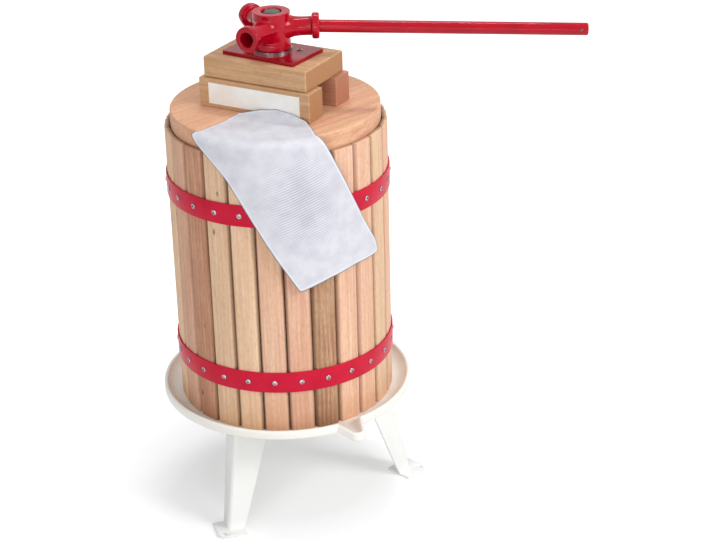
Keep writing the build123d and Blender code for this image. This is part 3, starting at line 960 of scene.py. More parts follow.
@dataclass(frozen=True)
class CrossHeadScrew:
    """A domed screw with a cross recess, its head upwards and its seat at the origin."""

    head_radius: float
    head_height: float
    shank_radius: float
    shank_length: float

    GRID = 10
    ARM_HALF_WIDTH = 0.22
    ARM_REACH = 0.7
    RECESS_EASE = 0.05
    RECESS_DEPTH = 0.7
    RIM_SHARE = 0.42
    DOME_FALL = 0.96
    TIP_START = 0.8
    TIP_RADIUS = 0.2

    def dome(self, point: Vector) -> Vector:
        """Round the square grid off to the head.

        Args:
            point: A point of the square from -1 to 1.

        Returns:
            Its place on the head.
        """
        across = point.x * math.sqrt(1 - point.y**2 / 2)
        along = point.y * math.sqrt(1 - point.x**2 / 2)
        fall = math.sqrt(max(0.0, 1 - self.DOME_FALL * (across**2 + along**2)))
        height = self.head_height * (self.RIM_SHARE + (1 - self.RIM_SHARE) * fall)
        return Vector((across * self.head_radius, along * self.head_radius, height))

    def in_recess(self, face: BMFace) -> bool:
        """True for a face of the flat grid that lies in the cross."""
        near, far = sorted(abs(share) for share in face.calc_center_median().xy)
        return near < self.ARM_HALF_WIDTH and far < self.ARM_REACH

    def build(self) -> BMesh:
        """Make one screw.

        Returns:
            The screw as a closed shape.
        """
        mesh = bmesh.new()
        bmesh.ops.create_grid(mesh, x_segments=self.GRID, y_segments=self.GRID, size=1.0)
        recess = [face for face in mesh.faces if self.in_recess(face)]
        for vert in mesh.verts:
            vert.co = self.dome(vert.co)
        bmesh.ops.inset_region(
            mesh,
            faces=recess,
            thickness=self.RECESS_EASE * self.head_radius,
            depth=-self.RECESS_DEPTH * self.head_height,
            use_even_offset=True,
        )
        self.step_down(mesh, self.head_radius, 0.0)
        self.step_down(mesh, self.shank_radius, 0.0)
        self.step_down(mesh, self.shank_radius, -self.shank_length * self.TIP_START)
        rim = self.step_down(mesh, self.shank_radius * self.TIP_RADIUS, -self.shank_length)
        bmesh.ops.edgeloop_fill(mesh, edges=rim)
        bmesh.ops.recalc_face_normals(mesh, faces=mesh.faces)
        return mesh

    @staticmethod
    def step_down(mesh: BMesh, radius: float, height: float) -> list[BMEdge]:
        """Grow the open rim to a ring of another radius and height.

        Args:
            mesh: The screw so far.
            radius: Radius of the new ring.
            height: Height of the new ring.

        Returns:
            The edges of the new ring.
        """
        rim = [edge for edge in mesh.edges if edge.is_boundary]
        grown = bmesh.ops.extrude_edge_only(mesh, edges=rim)["geom"]
        for vert in only(BMVert, grown):
            vert.co = (vert.co.to_2d().normalized() * radius).to_3d() + UP * height
        return [edge for edge in only(BMEdge, grown) if edge.is_boundary]

    def build_all(self, places: Sequence[Matrix]) -> BMesh:
        """Make a copy of the screw at each place.

        Args:
            places: Where each screw goes, with its head along local Z.

        Returns:
            All the screws in one shape.
        """
        mesh = self.build()
        first = everything(mesh)
        for place in places:
            copied = bmesh.ops.duplicate(mesh, geom=first)["geom"]
            bmesh.ops.transform(mesh, matrix=place, verts=only(BMVert, copied))
        bmesh.ops.delete(mesh, geom=only(BMVert, first), context="VERTS")
        return mesh


class Hoop(Enum):
    """The basket's two hoops, by the names of their CAD nodes."""

    LOWER = "lower_hoop"
    UPPER = "upper_hoop"


@dataclass
class Basket:
    """Ring of staves held by two painted hoops."""

    finishes: Finishes
    radius: float = 150.0 * MM
    stave_width: float = 27.8 * MM
    stave_thickness: float = 7.0 * MM
    slit: float = 0.8 * MM
    groove_depth: float = 4.8 * MM
    edge_round: float = 1.0 * MM
    tone_spread: float = 0.05
    # Painted shade on the groove walls between staves: its strength, how it differs from stave to stave, and
    # the share of the groove's depth over which it sets in
    painted_groove_shade: float = 0.56
    painted_groove_shade_spread: float = 0.14
    painted_groove_shade_depths: Point = (0.12, 0.5)
    width_spread: float = 1.1 * MM
    unevenness: float = 0.35 * MM
    hoop_gap: float = 0.1 * MM
    hoop_thickness: float = 2.0 * MM
    hoop_round: float = 0.7 * MM
    hoop_steps: int = 208
    stave_cuts: int = 14
    screw_head_radius: float = 3.4 * MM
    screw_head_height: float = 1.8 * MM
    screw_shank_radius: float = 1.6 * MM
    screw_length: float = 6.5 * MM

    # Radians from one stave to the next of the waves that make the staves and screws differ
    TOP_WAVE = 1.7
    TONE_WAVE = 3.1
    PAINTED_GROOVE_SHADE_WAVE = 5.3
    WIDTH_WAVE = 2.4
    SCREW_TURN = 2.1
    # How fast the sway of a stave's edges changes from stave to stave, and across and along it
    SWAY_RATE = Vector((7.3, 20.0, 9.0))

    def build(self) -> None:
        """Build the staves, hoops and hoop screws."""
        for number in range(1, STAVE_COUNT + 1):
            self.build_stave(number)
        for hoop in Hoop:
            self.build_hoop(hoop)
            self.build_screws(hoop)

    def build_stave(self, number: int) -> None:
        """Build one stave: a slat with eased edges, bent to the ring and not quite true, with painted shade
        on its groove walls.

        Args:
            number: The stave's number, from 1.
        """
        node = f"stave_{number:02d}"
        low, high = node_heights(node)
        top = high - self.unevenness * (1 + math.sin(self.TOP_WAVE * number))
        length = top - low
        mesh = bmesh.new()
        bmesh.ops.create_cube(mesh, size=1.0)
        bmesh.ops.scale(mesh, vec=(self.stave_thickness, self.stave_width, length), verts=mesh.verts)
        bmesh.ops.translate(mesh, vec=(-self.stave_thickness / 2, 0.0, (low + top) / 2), verts=mesh.verts)
        bevel_sharp(mesh, self.edge_round)
        planes = [((-self.groove_depth, 0.0, 0.0), (1.0, 0.0, 0.0))]
        for cut in range(1, self.stave_cuts):
            planes.append(((0.0, 0.0, low + length * cut / self.stave_cuts), UP))
        for spot, normal in planes:
            bmesh.ops.bisect_plane(
                mesh, geom=everything(mesh), plane_co=spot, plane_no=normal, dist=MERGE_REACH
            )
        # Painted shade: the tone attribute darkens the groove walls, on top of each stave's own tone
        tone_and_shade_layer = mesh.verts.layers.float.new("tone")
        tone = 1.0 + self.tone_spread * math.sin(self.TONE_WAVE * number)
        shade = self.painted_groove_shade + self.painted_groove_shade_spread * math.sin(self.PAINTED_GROOVE_SHADE_WAVE * number)
        for vert in mesh.verts:
            depth = -vert.co.x / self.groove_depth
            vert[tone_and_shade_layer] = tone * (1 - shade * smooth_step(depth, *self.painted_groove_shade_depths))
            vert.co = self.bend(vert.co, number)
        home = Home("basket", "beech_stave", (node,))
        finish_piece(mesh, f"basket_{node}", home, self.finishes.staves[STAVE_TONES[number - 1]])

    def bend(self, point: Vector, number: int) -> Vector:
        """Bend a straight stave to the ring, wider towards its back.

        Args:
            point: A point of the straight stave.
            number: The stave's number.

        Returns:
            The point's place in the basket.
        """
        front = (self.stave_width + self.width_spread * math.sin(self.WIDTH_WAVE * number)) / 2 / self.radius
        back = math.pi / STAVE_COUNT - self.slit / 2 / (self.radius - self.stave_thickness)
        depth = min(1.0, -point.x / self.groove_depth)
        sway = (1 - depth) * noise.noise(Vector((number, point.y, point.z)) * self.SWAY_RATE)
        share = point.y / (self.stave_width / 2)
        turn = share * (front + (back - front) * depth) + abs(share) * sway * self.unevenness / self.radius
        return polar(self.radius + point.x, stave_angle(number) + math.degrees(turn), point.z)

    def build_hoop(self, hoop: Hoop) -> None:
        """Spin a flat band and round its edges.

        Args:
            hoop: Which hoop.
        """
        low, high = node_heights(hoop.value)
        inner = self.radius + self.hoop_gap
        outer = inner + self.hoop_thickness
        mesh = bmesh.new()
        spin_outline(mesh, [(inner, low), (outer, low), (outer, high), (inner, high)], self.hoop_steps)
        bevel_sharp(mesh, self.hoop_round)
        home = Home("basket", "red_hoop_paint", (hoop.value,))
        finish_piece(mesh, f"{hoop.value}_band", home, self.finishes.hoop)

    def build_screws(self, hoop: Hoop) -> None:
        """Set one screw through the hoop into every stave, each turned its own way.

        Args:
            hoop: Which hoop.
        """
        middle = sum(node_heights(hoop.value)) / 2
        seat = self.radius + self.hoop_gap + self.hoop_thickness
        places = []
        for number in range(1, STAVE_COUNT + 1):
            angle = stave_angle(number)
            turn = Matrix.Rotation(self.SCREW_TURN * number, 4, "Z")
            lay = polar(1.0, angle).to_track_quat("Z", "Y").to_matrix().to_4x4()
            places.append(Matrix.Translation(polar(seat, angle, middle)) @ lay @ turn)
        screw = CrossHeadScrew(
            self.screw_head_radius,
            self.screw_head_height,
            self.screw_shank_radius,
            self.screw_length - self.hoop_thickness,
        )
        home = Home("basket", "bright_steel", (f"{hoop.value}_screws",))
        finish_piece(screw.build_all(places), f"{hoop.value}_screw_heads", home, self.finishes.bright)


@dataclass
class JuiceTray:
    """Pressed enamelled dish with a rolled lip and a drawn pouring spout."""

    finishes: Finishes
    sheet: float = 2.0 * MM
    hole_radius: float = 12.7 * MM
    flat_radius: float = 153.0 * MM
    flat_rings: int = 8
    wall_run: float = 18.0 * MM
    wall_rise: float = 12.0 * MM
    lip_radius: float = 1.75 * MM
    lip_drop: float = 8.0 * MM
    floor_lift: float = 0.8 * MM
    hem_radius: float = 1.2 * MM
    spout_pull: float = 27.0 * MM
    spout_slope: float = 66.0
    spout_bend: float = 5.0 * MM
    spout_flat: float = 1.5 * MM
    spout_drop: float = 5.5 * MM
    steps: int = 720
    crowding: float = 0.7

    WALL_POINTS = 10
    LIP_SWEEP = (150.0, 0.0)
    LIP_POINTS = 8
    SKIRT_SHARES = (0.35, 0.7)
    HEM_SWEEP = (0.0, -100.0)
    HEM_POINTS = 5

    def build(self) -> None:
        """Spin the dish, draw out the spout and give the sheet its thickness."""
        high = node_heights("tray")[1]
        floor = high - self.wall_rise - self.lip_radius - self.sheet / 2 + self.floor_lift
        mesh = bmesh.new()
        spin_outline(mesh, self.outline(floor), self.steps, closed=False)
        for vert in mesh.verts:
            vert.co = self.draw_spout(self.crowd(vert.co), floor)
        face_along(mesh, UP)
        home = Home("base", "white_enamel", ("tray",))
        piece = finish_piece(mesh, "juice_tray", home, self.finishes.enamel, sharp=60.0)
        add_modifier(piece, "sheet", "SOLIDIFY", thickness=self.sheet, offset=0.0, use_even_offset=True)
        log.info("tray floor at %.4f m", floor)

    def outline(self, floor: float) -> list[Point]:
        """Middle of the sheet from the hub hole out to the lip's edge.

        Args:
            floor: Height of the dish's flat floor.

        Returns:
            Points of radius and height.
        """
        wall_radius = (self.wall_run**2 + self.wall_rise**2) / (2 * self.wall_rise)
        sweep = math.degrees(math.asin(self.wall_run / wall_radius))
        flat_step = (self.flat_radius - self.hole_radius) / self.flat_rings
        flat = [(self.hole_radius + flat_step * ring, floor) for ring in range(self.flat_rings)]
        wall_centre = (self.flat_radius, floor + wall_radius)
        wall = arc_points(wall_centre, wall_radius, -90.0, -90.0 + sweep, self.WALL_POINTS)
        head_radius, head = wall[-1]
        lip_centre = (head_radius + self.lip_radius, head)
        lip = arc_points(lip_centre, self.lip_radius, *self.LIP_SWEEP, self.LIP_POINTS)
        skirt_radius = head_radius + 2 * self.lip_radius
        skirt = [(skirt_radius, head - self.lip_drop * share) for share in self.SKIRT_SHARES]
        hem_centre = (skirt_radius - self.hem_radius, head - self.lip_drop)
        hem = arc_points(hem_centre, self.hem_radius, *self.HEM_SWEEP, self.HEM_POINTS)
        return flat + wall + lip + skirt + hem

    def crowd(self, point: Vector) -> Vector:
        """Move a point of the round dish round the axis, so that its steps are closest at the spout."""
        turn = math.atan2(point.x, -point.y)
        return Matrix.Rotation(-self.crowding * math.sin(turn), 3, "Z") @ point

    def spout_reach(self, turn: float) -> float:
        """How far the spout pulls the wall out: two straight flanks with a bend at each end.

        Args:
            turn: Angle from the spout in radians.

        Returns:
            The pull in metres.
        """
        slope = math.radians(self.spout_slope)
        bend_run = self.spout_bend * math.sin(slope)
        bend_rise = self.spout_bend * (1 - math.cos(slope))
        flank_run = (self.spout_pull - 2 * bend_rise) / math.tan(slope)
        side = abs((self.flat_radius + self.wall_run) * math.sin(turn))
        from_root = self.spout_flat + 2 * bend_run + flank_run - side
        if from_root <= 0 or math.cos(turn) < 0:
            return 0.0
        if from_root < bend_run:
            return self.spout_bend - math.sqrt(self.spout_bend**2 - from_root**2)
        if from_root < bend_run + flank_run:
            return bend_rise + (from_root - bend_run) * math.tan(slope)
        from_flat = max(0.0, side - self.spout_flat)
        return self.spout_pull - self.spout_bend + math.sqrt(self.spout_bend**2 - from_flat**2)

    def wall_head(self, turn: float) -> Vector:
        """Head of the wall seen from above, at an angle in radians from the spout."""
        head = self.flat_radius + self.wall_run
        return Vector((head * math.sin(turn), -head * math.cos(turn) - self.spout_reach(turn)))

    def draw_spout(self, point: Vector, floor: float) -> Vector:
        """Pull the wall out where the spout is, and carry the rolled lip along its edge.

        Args:
            point: A point of the round dish.
            floor: Height of the dish's flat floor.

        Returns:
            The point of the dish with its spout.
        """
        radius = point.to_2d().length
        turn = math.atan2(point.x, -point.y)
        reach = self.spout_reach(turn)
        if radius <= self.flat_radius or reach == 0:
            return point
        head = self.wall_head(turn)
        drop = self.spout_drop * reach / self.spout_pull
        past = radius - self.flat_radius - self.wall_run
        if past <= 0:
            foot = Vector((math.sin(turn), -math.cos(turn))) * self.flat_radius
            spot = foot.lerp(head, 1 + past / self.wall_run)
            return Vector((*spot, floor + (point.z - floor) * (1 - drop / self.wall_rise)))
        small = 0.001
        tangent = (self.wall_head(turn + small) - self.wall_head(turn - small)).normalized()
        spot = head + Vector((tangent.y, -tangent.x)) * past
        return Vector((*spot, point.z - drop))


@dataclass
class Legs:
    """Three folded sheet legs with turned-out feet."""

    finishes: Finishes
    sheet: float = 3.0 * MM
    edge_round: float = 0.6 * MM
    sharp: float = 50.0
    fold_round: float = 6.0 * MM
    top_reach: float = 143.0 * MM
    foot_reach: float = 176.5 * MM
    top_flange: float = 50.0 * MM
    foot_flange: float = 25.0 * MM
    flange_start: float = 0.8 * MM
    tab_width: float = 66.0 * MM
    tab_inner: float = 84.0 * MM
    bolt_reach: float = 100.0 * MM
    bolt_spread: float = 36.0 * MM
    bolt_hole: float = 4.2 * MM
    foot_overhang: float = 16.0 * MM
    foot_cut: float = 6.0 * MM
    foot_hole: float = 4.0 * MM

    # Turn from a leg's direction to its first flange, in degrees
    FLANGE_TURN = 135.0
    FOLD_POINTS = 7
    HOLE_POINTS = 24

    def build(self) -> None:
        """Build the legs."""
        for node, angle in LEG_ANGLES.items():
            self.build_leg(node, angle)

    def build_leg(self, node: str, angle: float) -> None:
        """Build one leg as an open sheet that a modifier makes solid.

        Args:
            node: Name of the leg's CAD node.
            angle: Direction of the leg in degrees.
        """
        top = node_heights("base_plate")[0]
        ends = (
            (self.foot_flange, self.fold_place(self.foot_reach, angle, self.flange_start)),
            (self.top_flange, self.fold_place(self.top_reach, angle, top)),
        )
        mesh = bmesh.new()
        edges = []
        for flange, place in ends:
            edges += new_chain(mesh, [place @ Vector((*point, 0.0)) for point in self.section(flange)])[1]
        bmesh.ops.bridge_loops(mesh, edges=edges)
        bmesh.ops.recalc_face_normals(mesh, faces=mesh.faces)
        face_along(mesh, polar(1.0, angle))
        foot_holes = [((-self.foot_overhang / 2,) * 2, self.foot_hole)]
        foot_place = self.fold_place(self.foot_reach, angle, self.sheet)
        self.add_sheet(mesh, self.foot_outline(), foot_holes, foot_place)
        tab_place = Matrix.Translation((0, 0, top)) @ Matrix.Rotation(math.radians(angle), 4, "Z")
        self.add_sheet(mesh, self.tab_outline(), self.tab_holes(), tab_place)
        home = Home("base", "white_enamel", (node,))
        piece = finish_piece(mesh, f"{node}_sheet", home, self.finishes.leg_enamel, self.sharp)
        add_modifier(piece, "sheet", "SOLIDIFY", thickness=self.sheet, offset=-1.0, use_even_offset=True)
        add_modifier(
            piece,
            "edge",
            "BEVEL",
            width=self.edge_round,
            segments=2,
            limit_method="ANGLE",
            angle_limit=math.radians(self.sharp),
        )

    def fold_place(self, reach: float, angle: float, height: float) -> Matrix:
        """A level plane at a point of the fold, its axes along the flanges."""
        turn = Matrix.Rotation(math.radians(angle + self.FLANGE_TURN), 4, "Z")
        return Matrix.Translation(polar(reach, angle, height)) @ turn

    def section(self, flange: float) -> list[Point]:
        """Outer face of the folded sheet from one flange's edge to the other's."""
        bend = arc_points((self.fold_round,) * 2, self.fold_round, -90.0, -180.0, self.FOLD_POINTS)
        return [(flange, 0.0)] + bend + [(0.0, flange)]

    def foot_outline(self) -> list[Point]:
        """Foot plate with its outer corner cut off."""
        out, side, cut = -self.foot_overhang, self.foot_flange, self.foot_cut
        return [(out + cut, out), (side, out), (side, side), (out, side), (out, out + cut)]

    def tab_outline(self) -> list[Point]:
        """Tab under the base plate, pointed where it meets the fold."""
        nose, inner, half = self.top_reach - self.sheet, self.tab_inner, self.tab_width / 2
        return [(nose, 0.0), (nose - half, half), (inner, half), (inner, -half), (nose - half, -half)]

    def tab_holes(self) -> list[tuple[Point, float]]:
        """Centres and radii of the two bolt holes."""
        return [((self.bolt_reach, side * self.bolt_spread / 2), self.bolt_hole) for side in (1, -1)]

    def add_sheet(
        self, mesh: BMesh, outline: list[Point], holes: Sequence[tuple[Point, float]], place: Matrix
    ) -> None:
        """Add a flat sheet with round holes.

        Args:
            mesh: The leg so far.
            outline: Corners of the sheet.
            holes: Centre and radius of each hole.
            place: Where the sheet's plane lies.
        """
        last = 360.0 - 360.0 / self.HOLE_POINTS
        loops = [outline]
        loops += [arc_points(centre, radius, 0.0, last, self.HOLE_POINTS) for centre, radius in holes]
        edges = []
        for loop in loops:
            edges += new_chain(mesh, [place @ Vector((*point, 0.0)) for point in loop], closed=True)[1]
        made = bmesh.ops.triangle_fill(mesh, use_beauty=True, use_dissolve=True, edges=edges, normal=UP)
        for face in only(BMFace, made["geom"]):
            face.normal_update()
            if face.normal.z < 0:
                face.normal_flip()


@dataclass
class Spindle:
    """Threaded steel spindle: a trapezoid thread of five millimetres a turn."""

    finishes: Finishes
    crest: float = 12.45 * MM
    root: float = 10.4 * MM
    lead: float = 5.0 * MM
    steps_per_turn: int = 28
    end_chamfer: float = 1.6 * MM

    # Where the thread's root and crest begin and end, as shares of the lead
    ROOT_SPAN = (0.0, 0.3)
    CREST_SPAN = (0.44, 0.82)

    def build(self) -> None:
        """Sweep one pitch of the thread up the spindle and close its ends."""
        low, high = node_heights("spindle")
        turns = math.ceil((high - low) / self.lead) + 2
        start = low - self.lead
        outline = [(self.root, share) for share in self.ROOT_SPAN]
        outline += [(self.crest, share) for share in self.CREST_SPAN] + [(self.root, 1.0)]
        mesh = bmesh.new()
        points = [Vector((radius, 0.0, start + self.lead * share)) for radius, share in outline]
        verts, edges = new_chain(mesh, points)
        bmesh.ops.spin(
            mesh,
            geom=verts + edges,
            cent=ORIGIN,
            axis=UP,
            dvec=UP * (self.lead / self.steps_per_turn),
            angle=FULL_TURN * turns,
            steps=turns * self.steps_per_turn,
            use_merge=False,
        )
        bmesh.ops.remove_doubles(mesh, verts=mesh.verts, dist=MERGE_REACH)
        self.close_end(mesh, low, -UP)
        self.close_end(mesh, high - self.end_chamfer, UP)
        bmesh.ops.recalc_face_normals(mesh, faces=mesh.faces)
        home = Home("base", "spindle_steel", ("spindle",))
        finish_piece(mesh, "threaded_spindle", home, self.finishes.spindle, sharp=30.0)

    def close_end(self, mesh: BMesh, height: float, outward: Vector) -> None:
        """Cut the thread off square and cap it with a chamfered end.

        Args:
            mesh: The thread.
            height: Where to cut.
            outward: Direction of the part that is cut off.
        """
        cut = bmesh.ops.bisect_plane(
            mesh,
            geom=everything(mesh),
            plane_co=(0, 0, height),
            plane_no=outward,
            clear_outer=True,
            dist=FINE_REACH,
        )
        caps = bmesh.ops.edgeloop_fill(mesh, edges=only(BMEdge, cut["geom_cut"]))["faces"]
        bmesh.ops.inset_region(mesh, faces=caps, thickness=self.end_chamfer, use_even_offset=False)
        for vert in {vert for face in caps for vert in face.verts}:
            vert.co += outward * self.end_chamfer


@dataclass(frozen=True)
class SocketRing:
    """One ring of a socket in millimetres.

    Its reach is from the spindle axis, or from the boss's wall. Its spread draws it out sideways.
    """

    reach: float
    radius: float
    on_wall: bool = False
    spread: float = 0.0


@dataclass
class SpindleNut:
    """Cast nut: a boss with three collared sockets, blended by a subdivision surface."""

    finishes: Finishes
    radius: float = 25.0 * MM
    height: float = 50.0 * MM
    bore: float = 12.9 * MM
    foot_round: float = 2.0 * MM
    top_round: float = 1.6 * MM
    bore_round: float = 1.4 * MM
    bore_inset: float = 1.0 * MM
    socket_height: float = 28.0 * MM
    columns: int = 18
    socket_count: int = 3
    patch_half: float = 17.5 * MM
    patch_angle: float = 50.0
    ring_points: int = 20
    smoothing: int = 3

    PATCH_ROWS = (-1.0, -0.5, 0.0, 0.5, 1.0)
    WALL_SHARE = 0.8
    RINGS = (
        SocketRing(0.0, 15.4, on_wall=True, spread=5.2),
        SocketRing(2.4, 13.8, on_wall=True, spread=4.6),
        SocketRing(7.0, 12.9, on_wall=True, spread=2.6),
        SocketRing(38.0, 12.5, spread=0.4),
        SocketRing(50.0, 12.5),
        SocketRing(52.6, 12.8),
        SocketRing(53.1, 16.5),
        SocketRing(54.6, 17.5),
        SocketRing(61.0, 17.5),
        SocketRing(62.8, 16.7),
        SocketRing(63.1, 13.4),
        SocketRing(62.9, 10.3),
        SocketRing(61.4, 9.4),
        SocketRing(32.0, 9.4),
        SocketRing(29.0, 9.0),
    )

    def build(self) -> None:
        """Build the boss, grow the sockets and bore it through."""
        bottom = node_heights("spindle_nut")[0]
        axis_height = bottom + self.socket_height
        mesh = bmesh.new()
        spin_outline(mesh, self.boss_outline(bottom), self.columns)
        first_column = Matrix.Rotation(math.radians(BAR_ANGLE), 3, "Z")
        bmesh.ops.rotate(mesh, cent=ORIGIN, matrix=first_column, verts=mesh.verts)
        for socket in range(self.socket_count):
            self.grow_socket(mesh, BAR_ANGLE + socket * 360.0 / self.socket_count, axis_height)
        bmesh.ops.recalc_face_normals(mesh, faces=mesh.faces)
        home = Home("nut", "red_gloss_paint", ("spindle_nut",))
        piece = finish_piece(mesh, "cast_spindle_nut", home, self.finishes.gloss, sharp=180.0)
        add_modifier(piece, "cast_blend", "SUBSURF", levels=self.smoothing, render_levels=self.smoothing)

    def boss_outline(self, bottom: float) -> list[Point]:
        """Section of the boss: up its wall, over its rim, down its bore and back under its foot.

        Args:
            bottom: Height of the boss's foot.

        Returns:
            Points of radius and height.
        """
        top = bottom + self.height
        shrink = self.limit_share(self.columns)
        rows = [bottom, bottom + self.foot_round]
        rows += [bottom + self.socket_height + self.patch_half * share for share in self.PATCH_ROWS]
        rows += [top - self.top_round, top]
        wall = [(self.radius / shrink, row) for row in rows]
        rim = [(self.radius - self.top_round, top), (self.bore + self.bore_round, top)]
        hole = [(self.bore / shrink, row) for row in (top - self.bore_inset, bottom + self.bore_inset)]
        foot = [(self.bore + self.bore_round, bottom), (self.radius - self.foot_round, bottom)]
        return wall + rim + hole + foot

    @staticmethod
    def limit_share(points: int) -> float:
        """How far a ring of that many points draws in when it is subdivided."""
        return (2 + math.cos(FULL_TURN / points)) / 3

    def grow_socket(self, mesh: BMesh, angle: float, height: float) -> None:
        """Open the boss and grow a collared socket ring by ring.

        Args:
            mesh: The boss.
            angle: Direction of the socket in degrees.
            height: Height of the socket's axis.
        """
        outward = polar(1.0, angle)
        sideways = polar(1.0, angle + 90.0)
        axis_point = Vector((0.0, 0.0, height))
        patch = [face for face in mesh.faces if self.in_patch(face, outward, height)]
        rim_edges = {edge for face in patch for edge in face.edges}
        bmesh.ops.delete(mesh, geom=patch, context="FACES")
        rim = [edge for edge in rim_edges if edge.is_valid and edge.is_boundary]
        unit = MM / self.limit_share(self.ring_points)
        for ring in self.RINGS:
            grown = bmesh.ops.extrude_edge_only(mesh, edges=rim)["geom"]
            fresh = only(BMVert, grown)
            fresh.sort(key=lambda vert: self.turn_about(vert.co - axis_point, sideways))
            for number, vert in enumerate(fresh):
                turn = FULL_TURN * number / self.ring_points
                side = (ring.radius + ring.spread) * unit * math.cos(turn)
                rise = ring.radius * unit * math.sin(turn)
                wall = math.sqrt(self.radius**2 - side**2) if ring.on_wall else 0.0
                vert.co = axis_point + outward * (wall + ring.reach * MM) + sideways * side + UP * rise
            rim = [edge for edge in only(BMEdge, grown) if edge.is_boundary]
        bmesh.ops.edgeloop_fill(mesh, edges=rim)

    @staticmethod
    def turn_about(local: Vector, sideways: Vector) -> float:
        """Angle of a point about a socket's axis, counted from just below its sideways direction."""
        small = 0.01
        return (math.atan2(local.z, local.dot(sideways)) + small) % FULL_TURN

    def in_patch(self, face: BMFace, outward: Vector, height: float) -> bool:
        """Pick the faces of the boss that a socket grows from.

        Args:
            face: A face of the boss.
            outward: Direction of the socket.
            height: Height of the socket's axis.

        Returns:
            True for a face that the socket takes the place of.
        """
        centre = face.calc_center_median()
        if abs(centre.z - height) > self.patch_half:
            return False
        if centre.to_2d().length < self.radius * self.WALL_SHARE:
            return False
        return centre.to_2d().angle(outward.to_2d()) < math.radians(self.patch_angle)


